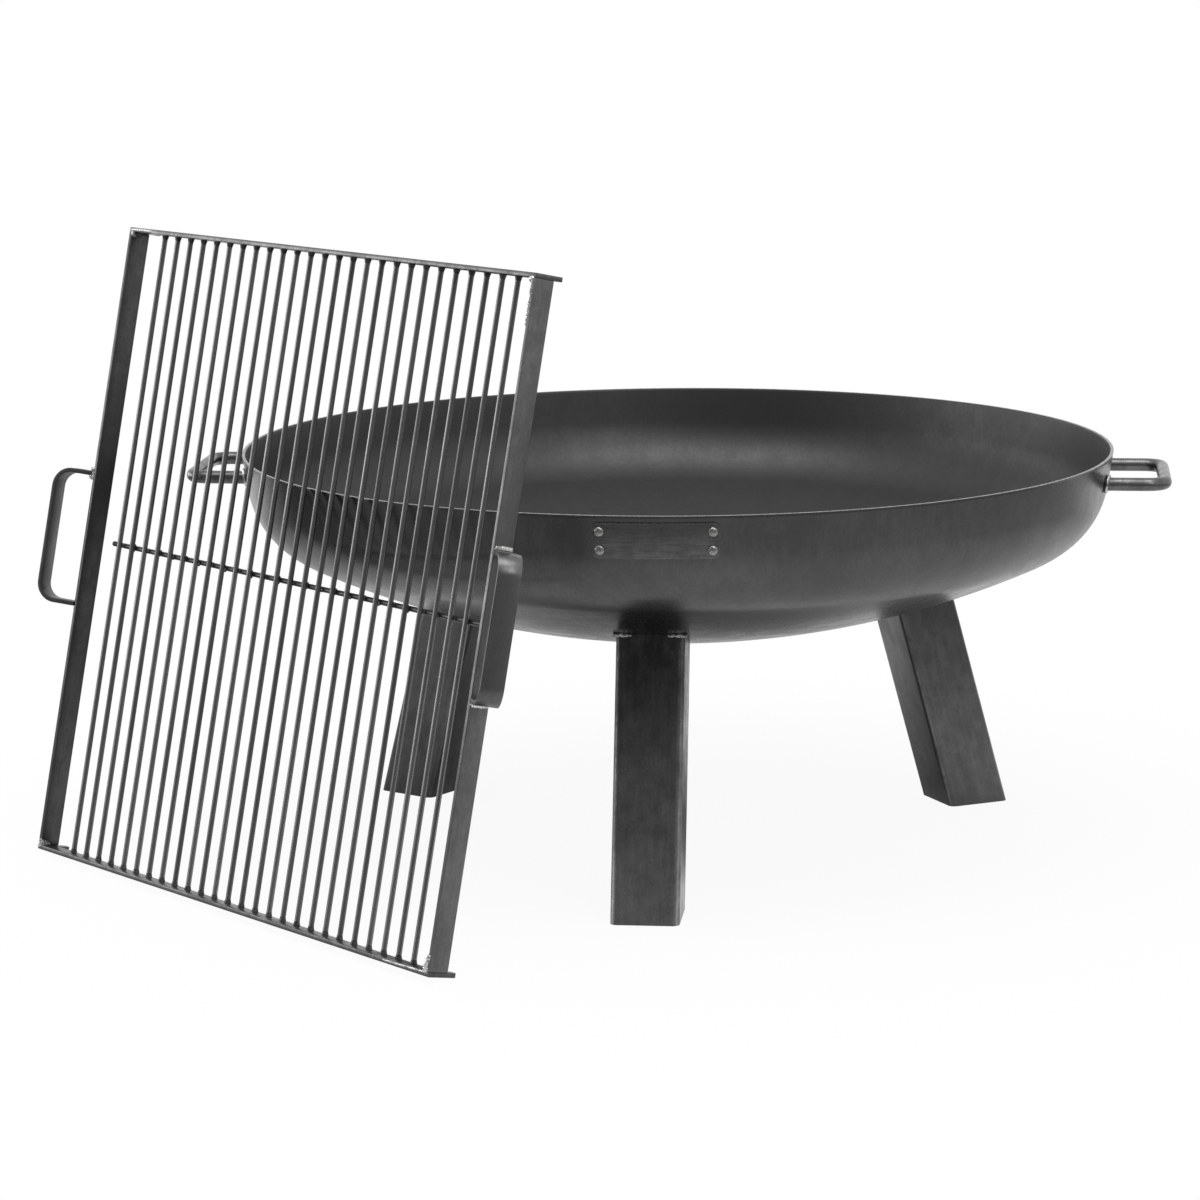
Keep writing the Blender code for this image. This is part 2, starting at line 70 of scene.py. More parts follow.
# Each leg's azimuth, the contrast of its scale, and the painted light and shade at its foot and at
# its top, as shares of the colour: on its outer faces, and on the face turned to the bowl's axis
LEGS = {
    "front": (radians(-90), 0.34, (2.1, 0.64), (1.0, 0.9)),
    "right": (radians(30), 0.16, (1.50, 0.80), (0.70, 1.55)),
    "left": (radians(150), 0.22, (0.75, 1.45), (0.75, 1.2)),
}
HANDLE_TURNS = {"right": 0.0, "left": pi}
# Each side of the grate: its direction, and the finishes of its bar and of its corner beads; the
# left bar and strap take a darker copy, painted shade
GRATE_SIDES = {
    "left": (-1, "dark bar steel", "dull weld steel"),
    "right": (1, "grate steel", "weld steel"),
}
# Each lamp's place and size; all point at one place
LAMPS = {
    "key_light": ((1.5, -2.6, 2.3), (1.1, 1.5)),
    "side_light": ((-3.0, 0.6, 0.75), (3.4, 0.9)),
    "top_light": ((0.0, -0.8, 2.9), (2.6, 1.6)),
}
LAMP_AIM = Vector((0, 0, 0.25))
FLOOR_SIDE = 16
# The upright flag's middle and size, and how far its top reaches forward as a roof
FLAG_PLACE, FLAG_SIZE, FLAG_ROOF = (0, -5.2, 1.8), (10, 3.6, 1), 2.4
# Heights between which a leg's shade changes
SHADE_LEVELS = (0.02, 0.20)
# Feature sizes: the pits in scale and the tinted places on bare steel
PIT, TINTED = 0.0009, 0.011

BOWL_SIDES = 256
# Drops of the wall's rings below the rim, and the radius of the dish's last ring
WALL_DROPS = (0, 0.003, 0.018)
LAST_RING = 0.004
# How near a point has to be to a level to count as lying on it, and to another to be the same
NEAR = 0.0001
SAME_PLACE = 0.000001
# The least space between two bars of the grate
CLEAR = 0.0001
# A leg's tube before it is cut at the floor and drawn on to the bowl
LEG_BELOW, LEG_ABOVE = 0.03, 0.20
# From the wall's outer radius in to the ends of a handle's arms, which end inside the sheet
ARM_ROOT = 0.0058
# How far the beads at the legs' tops are sunk into the bowl
LEG_BEAD_LIFT = 0.0012
# The plate's distance from the wall, and the rounding of its edges
PLATE_GAP = 0.00035
PLATE_EDGE = 0.00035
# The rounding of the grate's flat bars and straps
END_BAR_EDGE, SIDE_BAR_EDGE, STRAP_EDGE = 0.0005, 0.0007, 0.0006
# A rivet's tail as radii and heights from the bowl's inner side, its shank, and its head's seat
RIVET_TAIL = ((0.0004, -0.0013), (0.0022, -0.0013), (0.0028, -0.0009), (0.0028, 0))
RIVET_SHANK = 0.0016
RIVET_GAP = 0.0004
RIVET_SKIRT = 0.0002
# A rod's weld at its end, as shares of its radius and heights above the end bar
COLLAR = ((1.36, 0.0), (1.30, 0.0008), (1.13, 0.0020), (1.03, 0.0034), (1.0, 0.0050))
BURNT_END = 0.0068
TACK_LENGTH = 0.0085


def property_of(maker, **kind):
    """A short call for one kind of property: its name, its description and its default."""
    def describe(name, description, default):
        return maker(name=name, description=description, default=default, **kind)
    return describe


length = property_of(FloatProperty, unit="LENGTH", precision=4)
angle = property_of(FloatProperty, subtype="ANGLE")
colour = property_of(FloatVectorProperty, subtype="COLOR", size=3, min=0, max=1)
factor = property_of(FloatProperty, subtype="FACTOR", min=0, max=1)
power = property_of(FloatProperty, unit="POWER", min=0)
camera_size = property_of(FloatProperty, unit="CAMERA")


class BowlSizes(PropertyGroup):
    rim_radius: length("Rim radius", "Outer radius of the bowl at its rim", 0.400)
    rim_height: length("Rim height", "Height of the rim above the floor", 0.366)
    sheet: length("Sheet", "Thickness of the bowl's sheet", 0.003)
    wall_drop: length("Wall", "Height of the near-upright wall", 0.0335)
    wall_foot_radius: length("Wall foot radius", "Outer radius where the wall ends", 0.3947)
    knuckle_radius: length("Knuckle radius", "Radius of the bend from wall to dish", 0.0765)
    depth: length("Depth", "Outer depth of the bowl", 0.1708)
    rim_round: length("Rim round", "Rounding of the cut rim", 0.0006)


class LegSizes(PropertyGroup):
    side: length("Side", "Side of the square tube", 0.060)
    wall: length("Wall", "Wall of the tube", 0.003)
    corner: length("Corner", "Corner radius of the tube", 0.006)
    foot_radius: length("Foot radius", "Distance of the foot's middle from the bowl's axis", 0.306)
    lean: angle("Lean", "Angle of a leg to the upright", radians(16.3))
    weld_length: length("Weld length", "Length of each short bead at the top", 0.0185)


class HandleSizes(PropertyGroup):
    bar_radius: length("Bar radius", "Radius of the round bar", 0.006)
    arm_span: length("Span", "Distance between the two arms", 0.1175)
    reach: length("Reach", "Distance from the rim to the grip", 0.04545)
    height: length("Height", "Height of the bar above the floor", 0.3420)
    bend: length("Bend", "Bend radius of the bar's middle line", 0.016)


class PlateSizes(PropertyGroup):
    width: length("Width", "Width of the plate round the wall", 0.106)
    height: length("Height", "Height of the plate", 0.031)
    thickness: length("Thickness", "Thickness of the plate", 0.0015)
    corner: length("Corner", "Corner radius of the plate", 0.005)
    below_rim: length("Below the rim", "Drop from the rim to the plate's middle", 0.0212)
    azimuth: angle("Azimuth", "Where the plate's middle stands round the bowl", radians(-87.43))
    rivet_span: length("Rivet span", "Distance between rivets across the plate", 0.094)
    rivet_rise: length("Rivet rise", "Distance between rivets up the plate", 0.016)
    head_radius: length("Head radius", "Radius of a rivet's head", 0.0043)
    head_height: length("Head height", "Height of a rivet's dome", 0.0022)


class GrateSizes(PropertyGroup):
    width: length("Width", "Width of the grate over its side bars", 0.580)
    length: length("Length", "Length of the grate over its end bars", 0.578)
    flat: length("Flat bar", "Thickness of the flat bars", 0.004)
    side_depth: length("Side depth", "Depth of the side bars", 0.020)
    end_depth: length("End depth", "Depth of the end bars", 0.0175)
    stop_depth: length("Stop depth", "Depth of the end bars at their stops", 0.0300)
    stop_length: length("Stop length", "Length of a stop along the end bar", 0.009)
    stop_round: length("Stop round", "Rounding of a stop's tip", 0.003)
    rod_count: IntProperty(name="Rods", description="Number of rods", default=26, min=2)
    rod_pitch: length("Rod pitch", "Distance from rod to rod", 0.02015)
    rod_radius: length("Rod radius", "Radius of a rod", 0.00235)
    rod_depth: length("Rod depth", "Distance of the rods behind the grate's front", 0.0140)
    cross_rod_length: length("Cross rod", "Length of the rod across", 0.536)
    lean: angle("Lean", "Angle of the grate to the upright", radians(12.33))
    azimuth: angle("Azimuth", "Direction of the grate's width", radians(-43.0))
    contact: length("Contact", "Where the rim meets the rods, right of the middle", 0.043)
    strap_width: length("Strap width", "Width of a handle's strap", 0.020)
    strap_thickness: length("Strap thickness", "Thickness of a handle's strap", 0.004)
    strap_span: length("Strap span", "Distance between a handle's arms", 0.121)
    strap_reach: length("Strap reach", "Distance from the side bar to the grip", 0.0424)
    strap_bend: length("Strap bend", "Bend radius of the strap's middle line", 0.0160)
    strap_tilt: angle("Strap tilt", "Turn of the handles towards the cooking side", radians(30))
    gap: length("Gap", "Space between a piece and the bar that it meets", 0.0003)
    bead: length("Bead", "Radius of a weld bead", 0.0020)


class Finishes(PropertyGroup):
    bowl: colour("Bowl", "Dark mill scale of the bowl", (0.086, 0.086, 0.087))
    # Painted shade: the inside's colour is a darker copy of the bowl's scale
    inside: colour("Inside", "Dull scale inside the bowl", (0.056, 0.056, 0.057))
    bar: colour("Carrying handles", "Scale of the round bar", (0.125, 0.125, 0.126))
    plate: colour("Plate", "Brushed scale of the plate", (0.100, 0.100, 0.101))
    leg: colour("Legs", "Mill scale of the tube", (0.080, 0.080, 0.081))
    grate: colour("Grate", "Steel of the grate", (0.125, 0.125, 0.126))
    rivet: colour("Rivets", "Dulled steel of the rivets", (0.30, 0.30, 0.29))
    weld: colour("Welds", "Bright steel of the weld beads", (0.66, 0.66, 0.65))
    burnt: colour("Burnt steel", "Scale beside the welds", (0.072, 0.071, 0.070))
    cut_edge: colour("Cut edge", "Bare steel of sheared edges", (0.34, 0.34, 0.33))
    floor: colour("Floor", "Pale studio floor", (0.85, 0.85, 0.85))
    far_floor: factor("Far floor", "Brightness of the mirrored floor away from the object", 0.28)
    flag: factor("Flag", "Brightness of the grey flag behind the camera", 0.30)
    shadow: factor("Shadow", "Share of the floor's own shading that the camera sees", 0.07)


class Studio(PropertyGroup):
    lens: camera_size("Lens", "Focal length of the camera", 118.11)
    sensor: camera_size("Sensor", "Width of the sensor", 36.0)
    camera_offset: FloatVectorProperty(
        name="Camera", description="Camera's place from the bowl's axis at the floor",
        default=(0.3211, -3.58377, 0.8983), subtype="TRANSLATION", unit="LENGTH")
    camera_turn: FloatVectorProperty(
        name="Camera turn", description="Camera's turn",
        default=(radians(79.3396), radians(0.511), radians(6.1738)), subtype="EULER")
    world_strength: FloatProperty(
        name="World", description="Strength of the even studio light", default=0.45, min=0)
    key_light: power("Key light", "Power of the lamp beside the camera", 18.0)
    side_light: power("Side light", "Power of the lamp at the left", 26.0)
    top_light: power("Top light", "Power of the lamp above", 44.0)


class FireBowlSettings(PropertyGroup):
    bowl: PointerProperty(type=BowlSizes)
    legs: PointerProperty(type=LegSizes)
    handles: PointerProperty(type=HandleSizes)
    plate: PointerProperty(type=PlateSizes)
    grate: PointerProperty(type=GrateSizes)
    finishes: PointerProperty(type=Finishes)
    studio: PointerProperty(type=Studio)


def moved(place_of):
    return Matrix.Translation(place_of)


def turned(turn, axis):
    return Matrix.Rotation(turn, 4, axis)


# Working in object mode and edit mode, as by hand

def object_mode():
    bpy.ops.object.mode_set(mode="OBJECT")


def deselect():
    if bpy.context.mode != "OBJECT":
        object_mode()
    bpy.ops.object.select_all(action="DESELECT")


def select_only(piece):
    deselect()
    piece.select_set(True)
    bpy.context.view_layer.objects.active = piece


def edit_all():
    bpy.ops.object.mode_set(mode="EDIT")
    bpy.ops.mesh.select_all(action="SELECT")


def pick(kind, test):
    """In edit mode, selects the verts, edges or faces that pass a test."""
    modes = (kind == "verts", kind == "edges", kind == "faces")
    bpy.context.tool_settings.mesh_select_mode = modes
    bpy.ops.mesh.select_all(action="DESELECT")
    mesh = bpy.context.object.data
    bm = bmesh.from_edit_mesh(mesh)
    bm.normal_update()
    for element in getattr(bm, kind):
        if test(element):
            element.select_set(True)
    bm.select_flush_mode()
    bmesh.update_edit_mesh(mesh)


def assign(index, test):
    """In edit mode, gives the faces that pass a test one of the piece's materials."""
    pick("faces", test)
    bpy.context.object.active_material_index = index
    bpy.ops.object.material_slot_assign()


def name_piece(name, *finishes):
    """Names the new object and gives it its materials, which may be names of shared ones."""
    piece = bpy.context.object
    piece.name = piece.data.name = name
    for finish in finishes:
        piece.data.materials.append(finish_of(finish) if isinstance(finish, str) else finish)
    return piece


def apply_modifier(kind, **values):
    piece = bpy.context.object
    modifier = piece.modifiers.new(kind.lower(), kind)
    for key, value in values.items():
        setattr(modifier, key, value)
    bpy.ops.object.modifier_apply(modifier=modifier.name)


def soften(width, segments=2, material=-1, limit=40):
    """Rounds every edge that is sharper than the limit, in degrees."""
    apply_modifier(
        "BEVEL", width=width, segments=segments, limit_method="ANGLE",
        angle_limit=radians(limit), material=material)


def apply_place():
    """Moves the active object's place, turn and scale into its mesh."""
    bpy.ops.object.transform_apply(location=True, rotation=True, scale=True)


def place(matrix):
    piece = bpy.context.object
    piece.matrix_world = matrix @ piece.matrix_world
    apply_place()


def close_up():
    """Joins doubles and turns the faces outwards."""
    edit_all()
    bpy.ops.mesh.remove_doubles(threshold=SAME_PLACE)
    bpy.ops.mesh.normals_make_consistent(inside=False)
    object_mode()


def hand_over(body, slot, *nodes, smooth=35):
    """Smooths the active piece and hands it to the frame, for the nodes that it stands for."""
    piece = bpy.context.object
    select_only(piece)
    apply_place()
    bpy.ops.object.shade_smooth_by_angle(angle=radians(smooth))
    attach(piece, body)
    if nodes:
        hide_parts(*nodes)


def copy_piece(piece, name, matrix):
    """A copy with its own mesh, moved by a matrix."""
    select_only(piece)
    bpy.ops.object.duplicate(linked=False)
    twin = bpy.context.object
    twin.name = twin.data.name = name
    twin.parent = None
    twin.matrix_world = Matrix.Identity(4)
    place(matrix)
    return twin


def extrude(move):
    bpy.ops.mesh.extrude_edges_move(TRANSFORM_OT_translate={"value": move})


def stack_rings(rings, sides):
    """A turned surface about Z: a circle that is extruded and resized from ring to ring."""
    radius, height = rings[0]
    deselect()
    bpy.ops.mesh.primitive_circle_add(vertices=sides, radius=radius, location=(0, 0, height))
    apply_place()
    edit_all()
    for new_radius, new_height in rings[1:]:
        extrude((0, 0, new_height - height))
        scale = new_radius / radius
        bpy.ops.transform.resize(value=(scale, scale, 1), center_override=(0, 0, 0))
        radius, height = new_radius, new_height


def draw_ends_together(first_height):
    """Merges the last ring and then the first one into a point each."""
    bpy.ops.mesh.merge(type="CENTER")
    pick("verts", lambda v: abs(v.co.z - first_height) < SAME_PLACE and len(v.link_faces) == 2)
    bpy.ops.mesh.merge(type="CENTER")


def cap_ends():
    """Fills the last ring and then the first one with a face each."""
    bpy.ops.mesh.edge_face_add()
    pick("edges", lambda e: len(e.link_faces) == 1)
    bpy.ops.mesh.edge_face_add()


def extrude_to_u(root, bend_x, bend_y):
    """Takes the selected section out along X, round two bends and back, and closes its ends."""
    arm = bend_x - root
    extrude((arm, 0, 0))
    for centre, run in ((-bend_y, (0, 2 * bend_y, 0)), (bend_y, (-arm, 0, 0))):
        bpy.ops.mesh.spin(steps=12, angle=-pi / 2, center=(bend_x, centre, 0), axis=(0, 0, 1))
        extrude(run)
    bpy.ops.mesh.select_all(action="SELECT")
    bpy.ops.mesh.remove_doubles(threshold=SAME_PLACE)
    bpy.ops.mesh.select_all(action="DESELECT")
    bpy.ops.mesh.select_non_manifold()
    bpy.ops.mesh.fill_holes(sides=0)
    object_mode()
    close_up()


def arc(centre, radius, start, end, steps):
    points = []
    for k in range(steps + 1):
        turn = start + (end - start) * k / steps
        points.append((centre[0] + radius * cos(turn), centre[1] + radius * sin(turn)))
    return points


# Materials

def add_node(tree, kind, inputs=(), **values):
    node = tree.nodes.new(kind)
    for key, value in values.items():
        setattr(node, key, value)
    for key, value in dict(inputs).items():
        if isinstance(value, bpy.types.NodeSocket):
            tree.links.new(value, node.inputs[key])
        else:
            node.inputs[key].default_value = value
    return node


def math(tree, operation, first, second, **values):
    inputs = {0: first, 1: second}
    return add_node(tree, "ShaderNodeMath", inputs, operation=operation, **values).outputs[0]


def ramp(tree, source, low, high, first=0.0, last=1.0):
    """A value stretched from first..last at the two ends of low..high."""
    node = add_node(tree, "ShaderNodeMapRange", {
        "Value": source, "From Min": low, "From Max": high, "To Min": first, "To Max": last})
    return node.outputs["Result"]


def object_place(tree):
    return add_node(tree, "ShaderNodeTexCoord").outputs["Object"]


def object_axis(tree, axis):
    return add_node(tree, "ShaderNodeSeparateXYZ", {"Vector": object_place(tree)}).outputs[axis]


def piece_coordinates(tree, turn, stretch, origin):
    """Object coordinates seen in a piece's own axes, in units of its own feature sizes."""
    node = add_node(tree, "ShaderNodeMapping", {
        "Vector": object_place(tree), "Location": origin, "Rotation": turn, "Scale": stretch},
        vector_type="TEXTURE")
    return node.outputs["Vector"]


def noise(tree, size, detail, rough=0.55, turn=(0, 0, 0), origin=(0, 0, 0)):
    """Noise with features of a size, which may differ along the piece's own axes."""
    node = add_node(tree, "ShaderNodeTexNoise", {
        "Vector": piece_coordinates(tree, turn, size, origin), "Scale": 1.0, "Detail": detail,
        "Roughness": rough})
    return node.outputs["Fac"]


def mix_colour(tree, share, first, second, blend="MIX"):
    inputs = {0: share, 6: first, 7: second}
    mix = add_node(tree, "ShaderNodeMix", inputs, data_type="RGBA", blend_type=blend)
    return mix.outputs[2]


def shade_of(base, share):
    """A colour that is lighter or darker by a share, with its alpha."""
    return (*(value * share for value in tuple(base)[:3]), 1)


def weighted(tree, parts):
    """A sum of values from 0 to 1, each with its weight."""
    total = None
    for value, weight in parts:
        part = math(tree, "MULTIPLY", value, weight)
        total = part if total is None else math(tree, "ADD", total, part)
    return total


def new_material(name):
    material = bpy.data.materials.new(name)
    material.use_nodes = True
    return material


def link_shader(tree, metallic, tone, roughness, height, strength, distance):
    """Links colour, roughness and small bumps to the material's shader."""
    bump = add_node(tree, "ShaderNodeBump", {
        "Height": height, "Strength": strength, "Distance": distance})
    shader = tree.nodes["Principled BSDF"]
    shader.inputs["Metallic"].default_value = metallic
    tree.links.new(tone, shader.inputs["Base Color"])
    tree.links.new(roughness, shader.inputs["Roughness"])
    tree.links.new(bump.outputs["Normal"], shader.inputs["Normal"])


def steel(
        name, base, roughness, patch=0.05, blotch=0.012, mottle=0.0022,
        streak=(0.004, 0.004, 0.05), weights=(0.3, 0.3, 0.2, 0.2), contrast=0.30, scratches=0.3,
        shades=(1.0, 1.0), grain=0.4, **axes):
    """Mill scale: patches, blotches, mottling, drawn streaks, hairline scratches and small pits."""
    material = new_material(name)
    tree = material.node_tree

    def layer(size, detail, rough=0.55):
        size = size if isinstance(size, tuple) else (size, size, size * 1.4)
        return noise(tree, size, detail, rough, **axes)

    patches = ramp(tree, layer(patch, 4.0, 0.6), 0.32, 0.68)
    blotches = ramp(tree, layer(blotch, 5.0, 0.65), 0.34, 0.66)
    mottling = ramp(tree, layer(mottle, 3.0, 0.6), 0.30, 0.70)
    streaks = ramp(tree, layer(streak, 3.0), 0.32, 0.68)
    pits = layer(PIT, 2.0)
    tone = weighted(tree, zip((patches, blotches, mottling, streaks), weights))
    tone = ramp(tree, tone, 0.28, 0.72)
    hairs = layer((streak[0] * 0.12, streak[1] * 0.12, streak[2] * 0.7), 1.0)
    hairs = math(
        tree, "MULTIPLY", ramp(tree, hairs, 0.70, 0.78),
        ramp(tree, blotches, 0.5, 0.9, 0.0, scratches))
    seen = mix_colour(tree, tone, shade_of(base, 1 - contrast), shade_of(base, 1 + contrast))
    seen = mix_colour(tree, hairs, seen, shade_of(base, 2.2))
    seen = mix_colour(tree, ramp(tree, pits, 0.64, 0.74), seen, shade_of(base, 0.55))
    # Painted light and shade: the colour grows lighter or darker with height, between two shares
    if shades[0] != shades[1]:
        height_shade = ramp(tree, object_axis(tree, "Z"), *SHADE_LEVELS, *shades)
        seen = mix_colour(tree, 1.0, seen, height_shade, "MULTIPLY")
    spread = 0.015 + 0.13 * contrast
    dulled = ramp(tree, tone, 0.2, 0.8, roughness + spread, roughness - spread)
    dulled = math(tree, "ADD", dulled, ramp(tree, pits, 0.3, 0.7, -0.025, 0.025))
    height = weighted(tree, ((pits, 0.5), (mottling, 0.3), (blotches, 0.5)))
    link_shader(tree, 0.9, seen, dulled, height, grain, 0.00005)
    return material


def bright_steel(name, base, roughness, mottle=0.003, tint=None):
    """Bare metal: cut edges, rivets and weld beads, with small uneven dulling and a faint tint."""
    material = new_material(name)
    tree = material.node_tree
    spots = noise(tree, (mottle,) * 3, 4.0, 0.6)
    seen = mix_colour(
        tree, ramp(tree, spots, 0.35, 0.65), shade_of(base, 0.55), shade_of(base, 1.2))
    if tint:
        wide = ramp(tree, noise(tree, (TINTED,) * 3, 2.0), 0.50, 0.66, 0.0, 0.6)
        seen = mix_colour(tree, wide, seen, tint)
    dulled = ramp(tree, spots, 0.3, 0.7, roughness + 0.12, roughness - 0.06)
    link_shader(tree, 0.95, seen, dulled, spots, 0.4, 0.0002)
    return material


BOWL_AXIS = dict(origin=tuple(AXIS))
UP_STREAK = dict(streak=(0.0015, 0.0015, 0.04))
ACROSS = dict(patch=0.03, blotch=0.008, streak=(0.04, 0.0015, 0.0015), contrast=0.24)
WELD_TINT = dict(tint=(0.07, 0.065, 0.06, 1))
# Each shared finish: what makes it, its colour and the share of it, its roughness and its figures
SHARED_FINISHES = {
    "bowl scale": (steel, "bowl", 1, 0.275, dict(
        BOWL_AXIS, patch=0.08, blotch=0.02, streak=(0.0027, 0.0027, 0.03),
        weights=(0.35, 0.25, 0.15, 0.25), contrast=0.09)),
    # A darker copy of the bowl's scale: painted shade inside the bowl, with a duller finish
    "inner scale": (steel, "inside", 1, 0.46, dict(
        BOWL_AXIS, patch=0.07, blotch=0.018, streak=(0.0030, 0.0030, 0.012),
        weights=(0.25, 0.25, 0.25, 0.25), contrast=0.06)),
    "bar scale": (steel, "bar", 1, 0.30, dict(
        patch=0.02, blotch=0.008, mottle=0.004, streak=(0.03, 0.004, 0.004),
        weights=(0.5, 0.4, 0.05, 0.05), contrast=0.20, scratches=0.0, grain=0.04)),
    "plate scale": (steel, "plate", 1, 0.40, dict(
        patch=0.03, streak=(0.02, 0.02, 0.0012), weights=(0.2, 0.2, 0.2, 0.4), contrast=0.22)),
    "grate steel": (steel, "grate", 1, 0.33, dict(
        UP_STREAK, patch=0.03, blotch=0.008, contrast=0.15)),
    # A darker copy of the grate's steel: painted shade on the left bar and strap and on the rod
    # across
    "dark bar steel": (steel, "grate", 0.62, 0.38, dict(
        UP_STREAK, patch=0.04, blotch=0.010, contrast=0.15)),
    "rod steel": (steel, "grate", 1.25, 0.33, dict(
        UP_STREAK, patch=(0.012, 0.012, 0.5), blotch=0.008, weights=(0.8, 0.1, 0.05, 0.05),
        scratches=0.1, grain=0.15)),
    "end bar steel": (steel, "grate", 1, 0.33, ACROSS),
    "low bar steel": (steel, "grate", 0.65, 0.33, ACROSS),
    "burnt steel": (steel, "burnt", 1, 0.42, dict(
        patch=0.01, blotch=0.003, mottle=0.001, contrast=0.5)),
    "bare edge": (bright_steel, "cut_edge", 1, 0.36, {}),
    "worn edge": (bright_steel, "cut_edge", 0.45, 0.40, {}),
    "rivet steel": (bright_steel, "rivet", 1, 0.26, dict(mottle=0.0012)),
    "weld steel": (bright_steel, "weld", 1, 0.20, dict(WELD_TINT, mottle=0.0011)),
    "dull weld steel": (bright_steel, "weld", 0.42, 0.34, dict(WELD_TINT, mottle=0.0014)),
}


def finish_of(kind):
    """The materials that several pieces share, made on first use."""
    known = bpy.data.materials.get(kind)
    if known:
        return known
    settings = bpy.context.scene.fire_bowl
    make, name, share, roughness, figures = SHARED_FINISHES[kind]
    if name == "grate":
        figures = dict(figures, turn=tuple(grate_matrix(settings.grate).to_euler()))
    return make(kind, shade_of(getattr(settings.finishes, name), share), roughness, **figures)


# Where things are

def wall_draft(bowl):
    return atan2(bowl.rim_radius - bowl.wall_foot_radius, bowl.wall_drop)


def wall_radius(bowl, below_rim):
    return bowl.rim_radius - below_rim * tan(wall_draft(bowl))


def grate_matrix(grate):
    """The grate's own axes: X to the right, Y rearwards, Z up the rods, from the foot's middle."""
    bowl = bpy.context.scene.fire_bowl.bowl
    lift = grate.stop_depth * sin(grate.lean)
    rise = bowl.rim_height - lift
    rods = grate.rod_depth + grate.rod_radius + grate.gap
    foot = bowl.rim_radius + (rods + rise * sin(grate.lean)) / cos(grate.lean)
    right = Vector((cos(grate.azimuth), sin(grate.azimuth), 0))
    rearwards = Vector((-sin(grate.azimuth), cos(grate.azimuth), 0))
    place_of = AXIS - foot * rearwards - grate.contact * right + lift * UP
    return moved(place_of) @ turned(grate.azimuth, "Z") @ turned(-grate.lean, "X")


def along(direction, centre):
    """A matrix that lays the Z axis along a direction, at a place."""
    turn = Vector(direction).normalized().to_track_quat("Z", "Y").to_matrix().to_4x4()
    return moved(centre) @ turn


def axes_of(*directions):
    """A matrix that turns X, Y and Z to three directions."""
    return Matrix(directions).transposed().to_4x4()


# Bowl

def bowl_rings(bowl):
    """The bowl's outer side from the rim to its lowest point, as radius and height."""
    draft = wall_draft(bowl)
    knuckle = (
        bowl.wall_foot_radius - bowl.knuckle_radius * cos(draft),
        -bowl.wall_drop + bowl.knuckle_radius * sin(draft))
    inner = bowl.depth - bowl.knuckle_radius
    dish = (knuckle[0] ** 2 + knuckle[1] ** 2 - inner ** 2) / (2 * (knuckle[1] + inner))
    dish_radius = dish + bowl.depth
    lower = atan2(knuckle[1] - dish, knuckle[0])
    rings = [(wall_radius(bowl, drop), -drop) for drop in WALL_DROPS]
    rings += arc(knuckle, bowl.knuckle_radius, -draft, lower, 16)
    rings += arc((0.0, dish), dish_radius, lower, -acos(LAST_RING / dish_radius), 22)[1:]
    return [(radius, bowl.rim_height + height) for radius, height in rings]


def add_bowl(bowl):
    stack_rings(bowl_rings(bowl), BOWL_SIDES)
    bpy.ops.mesh.merge(type="CENTER")
    name_piece("bowl_dish", "bowl scale", "bare edge", "inner scale")
    close_up()
    apply_modifier("SOLIDIFY", thickness=bowl.sheet, offset=-1, use_even_offset=True)
    edit_all()
    pick("verts", lambda v: v.co.z > bowl.rim_height - 0.001)
    bpy.ops.transform.resize(value=(1, 1, 0), center_override=(0, 0, bowl.rim_height))
    near_rim = bowl.rim_height - NEAR
    # The inner faces take the darker copy: painted shade inside the bowl
    assign(2, lambda f: f.normal.z > 0.05)
    assign(1, lambda f: f.normal.z > 0.9 and f.calc_center_median().z > near_rim)
    pick("edges", lambda e: all(v.co.z > near_rim for v in e.verts)
         and abs(e.verts[0].co.to_2d().length - e.verts[1].co.to_2d().length) < NEAR)
    bpy.ops.mesh.bevel(offset=bowl.rim_round, segments=2, affect="EDGES")
    object_mode()
    place(moved(AXIS))
    hand_over("bowl", "bowl_steel", "bowl_shell", smooth=50)


# Legs

